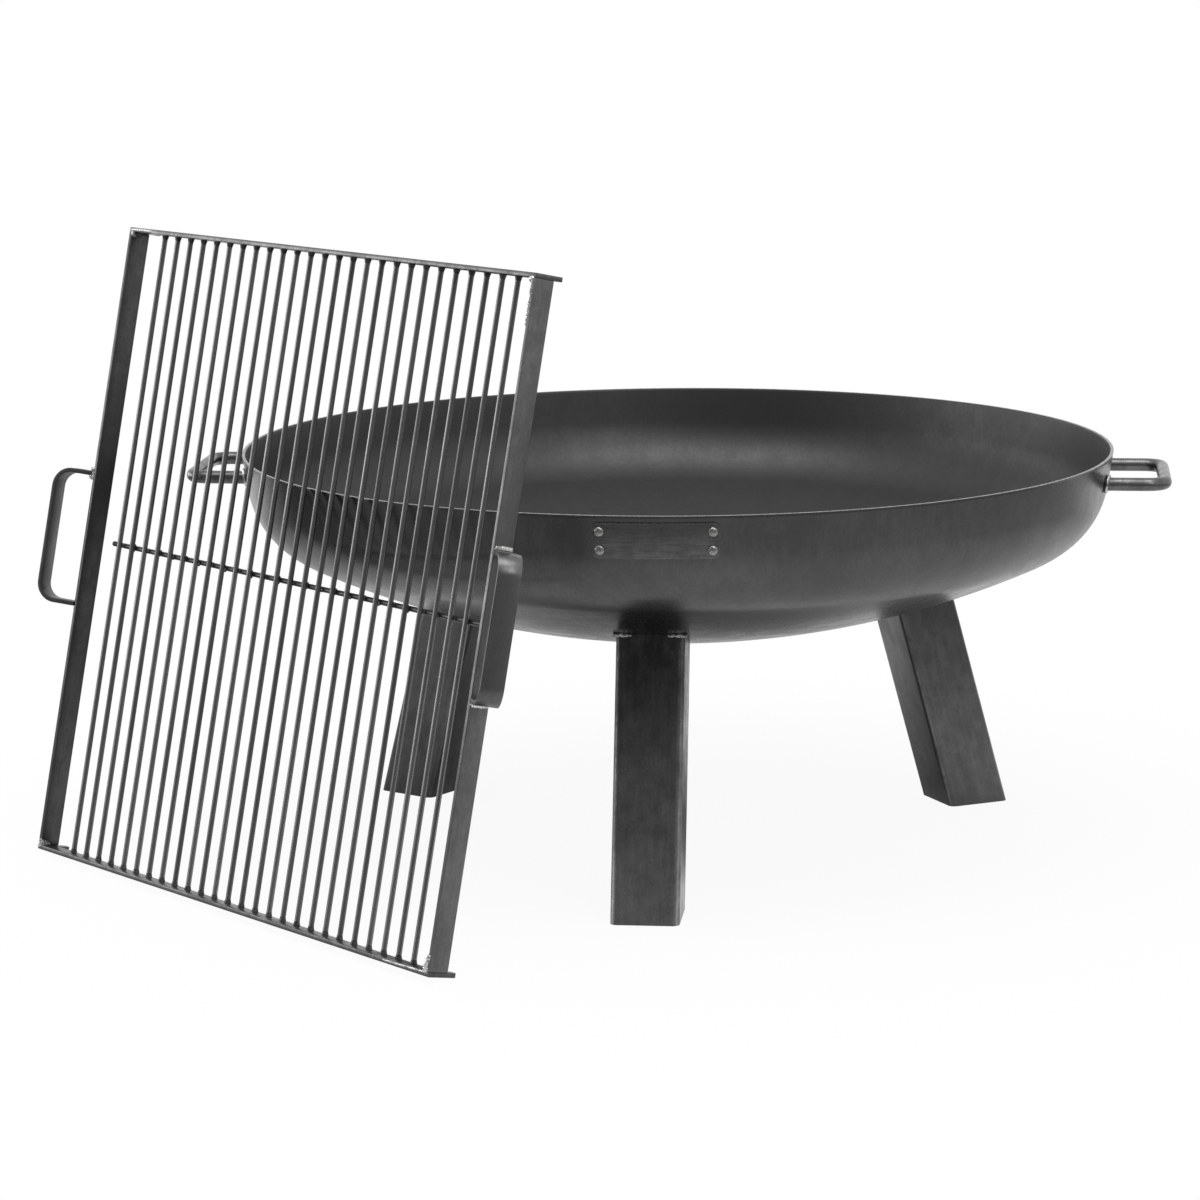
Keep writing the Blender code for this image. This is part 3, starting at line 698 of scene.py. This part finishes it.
def add_leg(side, legs):
    """Box tube: a cube with rounded long edges, opened at both ends and given a wall."""
    azimuth, contrast, shades, inner_shades = LEGS[side]
    stand = (
        moved(AXIS) @ turned(azimuth, "Z") @ moved((legs.foot_radius, 0, 0))
        @ turned(-legs.lean, "Y"))
    base = bpy.context.scene.fire_bowl.finishes.leg
    # Copies of the leg's scale with painted light and shade by height; the face turned to the axis
    # has its own
    materials = [
        steel(
            f"{side} leg {part}", shade_of(base, share), roughness, contrast=part_contrast,
            shades=part_shades, turn=tuple(stand.to_euler()), origin=tuple(stand.translation),
            patch=0.035, blotch=0.011, mottle=0.0020, weights=(0.30, 0.32, 0.16, 0.22),
            scratches=0.5)
        for part, share, roughness, part_contrast, part_shades in (
            ("scale", 1, 0.33, contrast, shades),
            ("corners", 1.5, 0.36, 0.35, shades),
            ("inner face", 1, 0.33, contrast, inner_shades))]
    deselect()
    bpy.ops.mesh.primitive_cube_add(
        size=1, location=(0, 0, (LEG_ABOVE - LEG_BELOW) / 2),
        scale=(legs.side, legs.side, LEG_ABOVE + LEG_BELOW))
    apply_place()
    piece = name_piece(side + "_leg", *materials)
    edit_all()
    pick("edges", lambda e: abs(e.verts[0].co.z - e.verts[1].co.z) > legs.side)
    bpy.ops.mesh.bevel(offset=legs.corner, segments=8, affect="EDGES")
    # The rounded corners take a lighter copy: partly worn scale, partly a painted highlight
    assign(1, lambda f: abs(abs(f.normal.x) - abs(f.normal.y)) < 0.30 and abs(f.normal.z) < 0.1)
    # The face turned to the axis takes the copy with its own painted shade
    assign(2, lambda f: f.normal.x < -0.95)
    pick("faces", lambda f: abs(f.normal.z) > 0.9)
    bpy.ops.mesh.delete(type="FACE")
    object_mode()
    apply_modifier("SOLIDIFY", thickness=legs.wall, offset=-1, use_even_offset=True)
    top = piece.vertex_groups.new(name="top")
    top.add([v.index for v in piece.data.vertices if v.co.z > LEG_ABOVE - 0.001], 1.0, "REPLACE")
    piece.matrix_world = stand
    bpy.context.view_layer.update()
    apply_modifier(
        "SHRINKWRAP", wrap_method="PROJECT", use_project_z=True, use_positive_direction=True,
        target=bpy.data.objects["bowl_dish"], vertex_group="top")
    piece.vertex_groups.clear()
    apply_place()
    edit_all()
    bpy.ops.mesh.bisect(plane_co=(0, 0, 0), plane_no=(0, 0, 1), use_fill=True, clear_inner=True)
    object_mode()
    hand_over("bowl", "leg_steel", "leg_" + side)


# Weld beads

def roughen(offset, seed):
    """Moves the points a little at random, and rounds the whole."""
    edit_all()
    bpy.ops.transform.vertex_random(offset=offset, seed=seed)
    object_mode()
    apply_modifier("SUBSURF", levels=2, render_levels=2)


def make_bead(name, size, radius, seed, material="weld steel"):
    """A rippled bead along Z: rings that swell and shrink, made uneven and then rounded."""
    steps = max(6, 2 * round(size / (radius * 0.9)))
    rings = []
    for k in range(steps + 1):
        share = 2 * k / steps - 1
        ripple = 1.10 if k % 2 else 0.86
        rings.append((radius * ripple * max(0.2, 1 - abs(share) ** 6) ** 0.5, share * size / 2))
    stack_rings(rings, 9)
    draw_ends_together(-size / 2)
    name_piece(name, material)
    close_up()
    roughen(radius * 0.36, seed)


def add_bead(name, size, radius, seed, matrix, body, *nodes, material="weld steel"):
    make_bead(name, size, radius, seed, material)
    place(matrix)
    hand_over(body, "weld_steel", *nodes, smooth=80)


def add_leg_welds(side, legs, bead):
    azimuth = LEGS[side][0]
    tangent = Vector((-sin(azimuth), cos(azimuth), 0))
    for number, end in enumerate(("a", "b")):
        node = f"leg_weld_{side}_{end}"
        add_bead(
            f"{side}_leg_bead_{end}", legs.weld_length, bead * 1.25, 3 + number,
            along(tangent, middle_of(node) + LEG_BEAD_LIFT * UP), "bowl", node,
            material="dull weld steel")


# Carrying handles

def add_handle(side, bowl, handles):
    """Round bar: a circle extruded along the arms and spun round the two bends."""
    arm = handles.arm_span / 2
    root = wall_radius(bowl, bowl.rim_height - handles.height) - ARM_ROOT
    deselect()
    bpy.ops.mesh.primitive_circle_add(
        vertices=28, radius=handles.bar_radius, location=(root, -arm, 0), rotation=(0, pi / 2, 0))
    apply_place()
    name_piece(side + "_handle", "bar scale")
    edit_all()
    extrude_to_u(root, bowl.rim_radius + handles.reach - handles.bend, arm - handles.bend)
    place(moved(AXIS + handles.height * UP) @ turned(HANDLE_TURNS[side], "Z"))
    hand_over("bowl", "handle_steel", "handle_" + side)


def add_handle_welds(side, bowl, handles, bead):
    """An uneven ring of weld round each arm."""
    wall = wall_radius(bowl, bowl.rim_height - handles.height)
    azimuth = asin(handles.arm_span / 2 / wall)
    draft = wall_draft(bowl)
    spin = turned(HANDLE_TURNS[side], "Z").to_3x3()
    for number, (end_name, end) in enumerate((("front", -1), ("rear", 1))):
        node = f"handle_weld_{side}_{end_name}"
        normal = spin @ Vector((cos(azimuth) * cos(draft), end * sin(azimuth), -sin(draft)))
        deselect()
        bpy.ops.mesh.primitive_torus_add(
            major_segments=22, minor_segments=8, major_radius=handles.bar_radius + bead * 0.6,
            minor_radius=bead * 0.95)
        name_piece(f"{side}_handle_bead_{end_name}", "weld steel")
        roughen(bead * 0.28, 11 + number)
        place(along(normal, middle_of(node) - normal * bead * 0.35))
        hand_over("bowl", "weld_steel", node, smooth=80)


# Plate and rivets

def add_plate(bowl, plate):
    """A thin sheet: one upright edge spun round the bowl's axis, its corners rounded."""
    radius = wall_radius(bowl, plate.below_rim) + PLATE_GAP
    sweep = plate.width / radius
    deselect()
    bpy.ops.mesh.primitive_plane_add(
        size=plate.height, location=(0, 0, 0), rotation=(pi / 2, 0, 0))
    apply_place()
    name_piece("plain_plate", "plate scale", "worn edge")
    edit_all()
    pick("verts", lambda v: v.co.x < 0)
    bpy.ops.mesh.delete(type="VERT")
    bpy.ops.mesh.select_all(action="SELECT")
    bpy.ops.transform.translate(value=(-plate.height / 2, 0, 0))
    object_mode()
    middle = moved((radius, 0, bowl.rim_height - plate.below_rim))
    place(turned(plate.azimuth - sweep / 2, "Z") @ middle @ turned(wall_draft(bowl), "Y"))
    edit_all()
    bpy.ops.mesh.spin(steps=10, angle=-sweep, center=(0, 0, 0), axis=(0, 0, 1))
    pick("verts", lambda v: len(v.link_edges) == 2)
    bpy.ops.mesh.bevel(offset=plate.corner, segments=6, affect="VERTICES")
    object_mode()
    close_up()
    apply_modifier("SOLIDIFY", thickness=plate.thickness, offset=1)
    soften(PLATE_EDGE, material=1, limit=60)
    place(moved(AXIS))
    hand_over("bowl", "plate_steel", "plate", smooth=30)


def add_rivets(bowl, plate):
    """A domed head with a short skirt, a shank and a flat tail inside the bowl."""
    seat = plate.thickness + RIVET_GAP
    skirt = seat + RIVET_SKIRT
    inside = -bowl.sheet
    head = plate.head_radius
    rings = [(radius, inside + height) for radius, height in RIVET_TAIL]
    rings += [(RIVET_SHANK, inside), (RIVET_SHANK, seat), (head * 0.97, seat), (head, skirt)]
    for k in range(1, 9):
        turn = pi / 2 * k / 8.4
        rings.append((head * cos(turn), skirt + plate.head_height * sin(turn)))
    stack_rings(rings, 28)
    draw_ends_together(rings[0][1])
    first = name_piece("rivet_model", "rivet steel")
    close_up()
    draft = wall_draft(bowl)
    middle_radius = wall_radius(bowl, plate.below_rim)
    for number, (across, up) in enumerate(((-1, 1), (-1, -1), (1, 1), (1, -1)), 1):
        azimuth = plate.azimuth + across * plate.rivet_span / 2 / middle_radius
        drop = plate.below_rim - up * plate.rivet_rise / 2 * cos(draft)
        copy_piece(
            first, f"plate_rivet_{number}", moved(AXIS) @ turned(azimuth, "Z")
            @ moved((wall_radius(bowl, drop), 0, bowl.rim_height - drop))
            @ turned(pi / 2 + draft, "Y"))
        hand_over("bowl", "rivet_steel", f"rivet_{number}", smooth=40)
    bpy.data.objects.remove(first, do_unlink=True)


# Grate

def add_flat(name, low, high, material):
    """A flat bar between two corners in the grate's own axes."""
    low, high = Vector(low), Vector(high)
    deselect()
    bpy.ops.mesh.primitive_cube_add(size=1, location=(low + high) / 2, scale=high - low)
    apply_place()
    name_piece(name, material)


def hand_over_grate_piece(node):
    place(grate_matrix(bpy.context.scene.fire_bowl.grate))
    hand_over("grate", "grate_steel", node)


def add_end_bar(name, level, grate, material):
    """A flat bar whose two ends reach further back as stops with rounded tips."""
    half, stop = grate.width / 2, grate.width / 2 - grate.stop_length
    add_flat(
        name + "_end_bar", (-half, 0, level), (half, grate.end_depth, level + grate.flat), material)
    edit_all()
    for cut in (-stop, stop):
        bpy.ops.mesh.select_all(action="SELECT")
        bpy.ops.mesh.bisect(plane_co=(cut, 0, 0), plane_no=(1, 0, 0))
    pick("faces", lambda f: f.normal.y > 0.9 and abs(f.calc_center_median().x) > stop)
    reach = grate.stop_depth - grate.end_depth
    bpy.ops.mesh.extrude_region_move(TRANSFORM_OT_translate={"value": (0, reach, 0)})
    pick("edges", lambda e: all(v.co.y > grate.stop_depth - NEAR for v in e.verts)
         and abs(e.verts[0].co.z - e.verts[1].co.z) > 0.001)
    bpy.ops.mesh.bevel(offset=grate.stop_round, segments=5, affect="EDGES")
    object_mode()
    soften(END_BAR_EDGE)
    hand_over_grate_piece("grate_end_" + name)


def add_side_bar(side, grate):
    direction, material, _ = GRATE_SIDES[side]
    end = grate.flat + CLEAR
    outer = direction * grate.width / 2
    low, high = sorted((outer - direction * grate.flat, outer))
    add_flat(
        side + "_side_bar", (low, 0, end), (high, grate.side_depth, grate.length - end), material)
    soften(SIDE_BAR_EDGE, 3)
    hand_over_grate_piece("grate_side_" + side)


def add_rod_model(rings, name, *finishes):
    stack_rings(rings, 20)
    cap_ends()
    piece = name_piece(name, *finishes)
    close_up()
    return piece


def rod_places(grate):
    """The number of each rod and its place across the grate."""
    for number in range(grate.rod_count):
        yield number, (number - (grate.rod_count - 1) / 2) * grate.rod_pitch


def add_rods(grate):
    """One rod with a small fillet of weld at each end, copied across the grate."""
    lower = [(share * grate.rod_radius, grate.flat + height) for share, height in COLLAR]
    rings = lower + [(radius, grate.length - height) for radius, height in reversed(lower)]
    first = add_rod_model(rings, "rod_model", "rod steel", "burnt steel")
    edit_all()
    middle = grate.length / 2
    assign(1, lambda f: middle - abs(f.calc_center_median().z - middle) < BURNT_END)
    object_mode()
    stand = grate_matrix(grate)
    for number, across in rod_places(grate):
        matrix = stand @ moved((across, grate.rod_depth, 0))
        copy_piece(first, f"rod_{number + 1:02d}", matrix)
        hand_over("grate", "grate_steel", f"grate_rod_{number + 1:02d}")
    bpy.data.objects.remove(first, do_unlink=True)


def add_cross_rod(grate):
    """The rod across, its ends cut and slightly rounded."""
    r, half = grate.rod_radius, grate.cross_rod_length / 2
    cut = r * 0.35
    rings = [(r * 0.75, -half), (r, -half + cut), (r, half - cut), (r * 0.75, half)]
    # The rod across takes the darker copy: painted shade behind the rods
    add_rod_model(rings, "cross_rod", "dark bar steel")
    place(along((1, 0, 0), (0, grate.rod_depth + 2 * r + CLEAR, grate.length / 2)))
    hand_over_grate_piece("grate_cross_rod")


def add_tacks(grate):
    """A tack of weld where each rod crosses the rod behind it, all in one piece."""
    make_bead("rod_tacks", TACK_LENGTH, grate.rod_radius * 0.72, 41, "burnt steel")
    first = bpy.context.object
    behind = grate.rod_depth + grate.rod_radius
    tacks = []
    for number, across in rod_places(grate):
        turn = turned(number * 1.7, "X")
        matrix = along((1, 0, 0), (across, behind, grate.length / 2)) @ turn
        tacks.append(copy_piece(first, f"tack_{number + 1:02d}", matrix))
    bpy.data.objects.remove(first, do_unlink=True)
    deselect()
    for tack in tacks:
        tack.select_set(True)
    bpy.context.view_layer.objects.active = tacks[0]
    bpy.ops.object.join()
    tacks[0].name = tacks[0].data.name = "rod_tacks"
    place(grate_matrix(grate))
    hand_over("grate", "weld_steel", smooth=80)


def add_strap(side, grate):
    """Flat strap: its section drawn round two bends, its feet cut at the side bar."""
    direction, material, _ = GRATE_SIDES[side]
    half = grate.strap_span / 2
    root = -grate.strap_width
    deselect()
    bpy.ops.mesh.primitive_plane_add(size=1, location=(root, -half, 0), rotation=(0, pi / 2, 0))
    bpy.context.object.scale = (grate.strap_width, grate.strap_thickness, 1)
    apply_place()
    name_piece(side + "_strap", material)
    edit_all()
    bpy.ops.mesh.delete(type="ONLY_FACE")
    bpy.ops.mesh.select_all(action="SELECT")
    extrude_to_u(root, grate.strap_reach - grate.strap_bend, half - grate.strap_bend)
    outwards = Vector((direction * cos(grate.strap_tilt), -sin(grate.strap_tilt), 0))
    face = Vector((direction * grate.width / 2, grate.side_depth / 2, grate.length / 2))
    place(moved(face) @ axes_of(outwards, UP, outwards.cross(UP)))
    edit_all()
    bpy.ops.mesh.bisect(
        plane_co=face + Vector((direction * CLEAR, 0, 0)), plane_no=(direction, 0, 0),
        use_fill=True, clear_inner=True)
    object_mode()
    soften(STRAP_EDGE)
    hand_over_grate_piece("grate_handle_" + side)


def add_strap_welds(side, grate):
    """Broad flat beads across the side bar, above and below the strap's feet."""
    direction = GRATE_SIDES[side][0]
    rise = grate.strap_span / 2 + grate.strap_thickness / 2 + grate.bead * 0.7
    # Z of the bead runs rearwards, its X up the bar, and its Y is flattened on to the bar
    axes = axes_of(UP, (direction, 0, 0), (0, 1, 0))
    flat = Matrix.Diagonal((1.45, 0.95, 1, 1))
    for number, (end_name, end) in enumerate((("top", 1), ("bottom", -1))):
        face = (direction * grate.width / 2, grate.side_depth / 2, grate.length / 2 + end * rise)
        add_bead(
            f"{side}_strap_bead_{end_name}", grate.strap_width, grate.bead, 21 + number,
            grate_matrix(grate) @ moved(face) @ axes @ flat,
            "grate", f"grate_weld_{side}_{end_name}")


def add_corner_welds(grate):
    """A short fillet in each inner corner of the frame, and the beads that show at its front."""
    stand = grate_matrix(grate)
    half, inner = grate.width / 2, grate.width / 2 - grate.flat
    reach = grate.bead * 0.7
    for side, (direction, _, material) in GRATE_SIDES.items():
        for level, height, inwards in (
                ("bottom", grate.flat, 1), ("top", grate.length - grate.flat, -1)):
            centre = (direction * (inner - reach), grate.end_depth * 0.20, height + inwards * reach)
            add_bead(
                f"{side}_{level}_corner_bead", grate.end_depth * 0.58, grate.bead * 1.8,
                31 + direction, stand @ along((0, 1, 0), centre), "grate", material=material)
    # Each front bead's length, share of a bead's radius, direction and middle
    for name, size, share, direction, centre in (
            ("left_top", 0.034, 0.8, (1, 0, 0),
             (0.020 - half, 0.0004, grate.length - grate.flat / 2)),
            ("right_top", 0.040, 0.8, (0, 0, 1), (inner, 0.0006, grate.length - 0.024)),
            ("right_bottom", 0.016, 1.3, (0.25, 0, 1), (inner - 0.0008, 0.0004, 0.0110)),
            ("right_foot", 0.056, 0.55, (1, 0, 0.02), (inner - 0.030, 0.0002, 0.0030)),
            ("left_bottom", 0.009, 1.1, (0, 0, 1), (-inner - 0.0010, 0.0004, 0.0060)),
            ("left_strap", 0.013, 1.6, (0, 0, 1),
             (-half - 0.0020, 0.0010, (grate.length + grate.strap_span) / 2))):
        add_bead(
            name + "_front_bead", size, grate.bead * share, 37, stand @ along(direction, centre),
            "grate")


# Stage

def clear_material(name):
    material = new_material(name)
    material.node_tree.nodes.clear()
    return material, material.node_tree


def distance_from(tree, place_of=(0, 0, 0), turn=0.0, stretch=(1, 1, 1)):
    """The distance on the floor from a place seen from the bowl's axis, or from an oval there."""
    vector = piece_coordinates(tree, (0, 0, turn), stretch, tuple(AXIS + Vector(place_of)))
    return add_node(tree, "ShaderNodeVectorMath", {0: vector}, operation="LENGTH").outputs["Value"]


def add_floor(finishes):
    """A pale floor, seen as white with a weak shadow, and mirrored in metal as a painted pool of
    light and shadow.
    """
    deselect()
    bpy.ops.mesh.primitive_plane_add(size=FLOOR_SIDE, location=(0, 0, 0))
    material, tree = clear_material("studio floor")
    floor = name_piece("studio_floor", material)
    lit = ramp(tree, distance_from(tree, (0.26, 0, 0)), 0.55, 1.45, 1.0, finishes.far_floor)
    # What the metal mirrors below the bowl: a painted shadow of a dark band and a wider, paler oval
    band = distance_from(tree, (0.02, -0.02, 0), radians(43), (0.36, 0.12, 1))
    oval = distance_from(tree, (0.0, 0.12, 0), 0.0, (0.30, 0.16, 1))
    painted_shadow = math(
        tree, "MINIMUM", ramp(tree, band, 0.5, 1.3, 0.12), ramp(tree, oval, 0.6, 1.6, 0.36))
    behind = ramp(tree, object_axis(tree, "Y"), 0.55, 1.00)
    pool = math(tree, "MAXIMUM", math(tree, "MULTIPLY", lit, painted_shadow), behind)
    shade = ramp(tree, distance_from(tree), 0.30, 0.85, finishes.shadow, 0.0)
    rays = add_node(tree, "ShaderNodeLightPath").outputs
    mirrored = math(tree, "ADD", rays["Is Glossy Ray"], rays["Is Transmission Ray"])
    seen = math(tree, "MULTIPLY", rays["Is Camera Ray"], math(tree, "SUBTRACT", 1.0, shade))
    share = math(tree, "ADD", seen, math(tree, "MULTIPLY", mirrored, 0.9))
    strength = ramp(tree, mirrored, 0.0, 1.0, 1.0, pool)
    paint = add_node(tree, "ShaderNodeBsdfDiffuse", {"Color": (*finishes.floor, 1)})
    glow = add_node(tree, "ShaderNodeEmission", {"Color": WHITE, "Strength": strength})
    mix = add_node(tree, "ShaderNodeMixShader", {0: share, 1: paint.outputs[0], 2: glow.outputs[0]})
    add_node(tree, "ShaderNodeOutputMaterial", {"Surface": mix.outputs[0]})


def add_flag(finishes):
    """A grey flag behind and above the camera, which only the metal mirrors."""
    deselect()
    bpy.ops.mesh.primitive_plane_add(size=1, location=FLAG_PLACE, rotation=(pi / 2, 0, 0))
    material, tree = clear_material("studio flag")
    flag = name_piece("studio_flag", material)
    flag.scale = FLAG_SIZE
    apply_place()
    edit_all()
    pick("edges", lambda e: all(v.co.z > FLAG_PLACE[2] for v in e.verts))
    extrude((0, FLAG_ROOF, 0))
    object_mode()
    glow = add_node(tree, "ShaderNodeEmission", {"Color": WHITE, "Strength": finishes.flag})
    flag.visible_camera = flag.visible_diffuse = flag.visible_shadow = False
    add_node(tree, "ShaderNodeOutputMaterial", {"Surface": glow.outputs[0]})


def add_world(strength):
    """White where it is seen or mirrored, and a plainer level as light."""
    world = bpy.context.scene.world = bpy.data.worlds.new("studio")
    world.use_nodes = True
    tree = world.node_tree
    tree.nodes.clear()
    rays = add_node(tree, "ShaderNodeLightPath").outputs
    seen = math(tree, "ADD", rays["Is Camera Ray"], rays["Is Glossy Ray"])
    seen = math(tree, "ADD", seen, rays["Is Transmission Ray"], use_clamp=True)
    light = add_node(tree, "ShaderNodeBackground", {"Color": WHITE, "Strength": strength})
    white = add_node(tree, "ShaderNodeBackground", {"Color": WHITE, "Strength": 1.0})
    mix = add_node(tree, "ShaderNodeMixShader", {0: seen, 1: light.outputs[0], 2: white.outputs[0]})
    add_node(tree, "ShaderNodeOutputWorld", {"Surface": mix.outputs[0]})


def add_lamps(studio):
    """Area lamps that point at the middle of the object."""
    for name, (location, size) in LAMPS.items():
        deselect()
        bpy.ops.object.light_add(type="AREA", location=location)
        lamp = bpy.context.object
        lamp.name = name
        lamp.data.shape = "RECTANGLE"
        lamp.data.size, lamp.data.size_y = size
        lamp.data.energy = getattr(studio, name)
        aim = LAMP_AIM - Vector(location)
        lamp.rotation_euler = aim.to_track_quat("-Z", "Y").to_euler()


def add_camera(studio):
    deselect()
    bpy.ops.object.camera_add(
        location=AXIS + Vector(studio.camera_offset), rotation=tuple(studio.camera_turn))
    camera = bpy.context.scene.camera = bpy.context.object
    camera.data.lens = studio.lens
    camera.data.sensor_width = studio.sensor


class FIREBOWL_OT_bowl(Operator):
    """Models the dished bowl with its cut rim"""
    bl_idname = "fire_bowl.bowl"
    bl_label = "Bowl"

    def execute(self, context):
        add_bowl(context.scene.fire_bowl.bowl)
        return {"FINISHED"}


class FIREBOWL_OT_legs(Operator):
    """Models the box-section legs and the beads at their tops"""
    bl_idname = "fire_bowl.legs"
    bl_label = "Legs"

    def execute(self, context):
        settings = context.scene.fire_bowl
        for side in LEGS:
            add_leg(side, settings.legs)
            add_leg_welds(side, settings.legs, settings.grate.bead)
        return {"FINISHED"}


class FIREBOWL_OT_handles(Operator):
    """Models the two carrying handles and the beads round their ends"""
    bl_idname = "fire_bowl.handles"
    bl_label = "Carrying Handles"

    def execute(self, context):
        settings = context.scene.fire_bowl
        for side in HANDLE_TURNS:
            add_handle(side, settings.bowl, settings.handles)
            add_handle_welds(side, settings.bowl, settings.handles, settings.grate.bead)
        return {"FINISHED"}


class FIREBOWL_OT_plate(Operator):
    """Models the bare plate and its four rivets"""
    bl_idname = "fire_bowl.plate"
    bl_label = "Plate and Rivets"

    def execute(self, context):
        settings = context.scene.fire_bowl
        add_plate(settings.bowl, settings.plate)
        add_rivets(settings.bowl, settings.plate)
        return {"FINISHED"}


class FIREBOWL_OT_grate_frame(Operator):
    """Models the grate's flat bars, their stops and the beads in the corners"""
    bl_idname = "fire_bowl.grate_frame"
    bl_label = "Grate Frame"

    def execute(self, context):
        grate = context.scene.fire_bowl.grate
        add_end_bar("bottom", 0, grate, "low bar steel")
        add_end_bar("top", grate.length - grate.flat, grate, "end bar steel")
        for side in GRATE_SIDES:
            add_side_bar(side, grate)
        add_corner_welds(grate)
        return {"FINISHED"}


class FIREBOWL_OT_rods(Operator):
    """Models the grate's rods and the one across behind them"""
    bl_idname = "fire_bowl.rods"
    bl_label = "Grate Rods"

    def execute(self, context):
        grate = context.scene.fire_bowl.grate
        add_rods(grate)
        add_cross_rod(grate)
        add_tacks(grate)
        return {"FINISHED"}


class FIREBOWL_OT_straps(Operator):
    """Models the grate's strap handles and the beads at their feet"""
    bl_idname = "fire_bowl.straps"
    bl_label = "Grate Handles"

    def execute(self, context):
        grate = context.scene.fire_bowl.grate
        for side in GRATE_SIDES:
            add_strap(side, grate)
            add_strap_welds(side, grate)
        return {"FINISHED"}


class FIREBOWL_OT_stage(Operator):
    """Sets up the floor, the light and the camera"""
    bl_idname = "fire_bowl.stage"
    bl_label = "Stage"

    def execute(self, context):
        settings = context.scene.fire_bowl
        context.scene.view_settings.view_transform = "Standard"
        add_floor(settings.finishes)
        add_flag(settings.finishes)
        add_world(settings.studio.world_strength)
        add_lamps(settings.studio)
        add_camera(settings.studio)
        return {"FINISHED"}


class FIREBOWL_PT_panel(Panel):
    """Lists the fire bowl's pieces and sizes"""
    bl_idname = "FIREBOWL_PT_panel"
    bl_label = "Fire Bowl"
    bl_space_type = "VIEW_3D"
    bl_region_type = "UI"
    bl_category = "Fire Bowl"

    def draw(self, context):
        settings = context.scene.fire_bowl
        for operator in OPERATORS:
            self.layout.operator(operator.bl_idname)
        for group in settings.__annotations__:
            box = self.layout.box()
            box.label(text=group.capitalize())
            values = getattr(settings, group)
            for key in values.__annotations__:
                box.prop(values, key)


OPERATORS = (
    FIREBOWL_OT_bowl, FIREBOWL_OT_legs, FIREBOWL_OT_handles, FIREBOWL_OT_plate,
    FIREBOWL_OT_grate_frame, FIREBOWL_OT_rods, FIREBOWL_OT_straps, FIREBOWL_OT_stage)
CLASSES = (
    BowlSizes, LegSizes, HandleSizes, PlateSizes, GrateSizes, Finishes, Studio,
    FireBowlSettings) + OPERATORS + (FIREBOWL_PT_panel,)


def register():
    for item in CLASSES:
        bpy.utils.register_class(item)
    bpy.types.Scene.fire_bowl = PointerProperty(type=FireBowlSettings)


def unregister():
    del bpy.types.Scene.fire_bowl
    for item in reversed(CLASSES):
        bpy.utils.unregister_class(item)


def main():
    register()
    bpy.ops.fire_bowl.bowl()
    bpy.ops.fire_bowl.legs()
    bpy.ops.fire_bowl.handles()
    bpy.ops.fire_bowl.plate()
    bpy.ops.fire_bowl.grate_frame()
    bpy.ops.fire_bowl.rods()
    bpy.ops.fire_bowl.straps()
    bpy.ops.fire_bowl.stage()


if __name__ == "__main__":
    main()
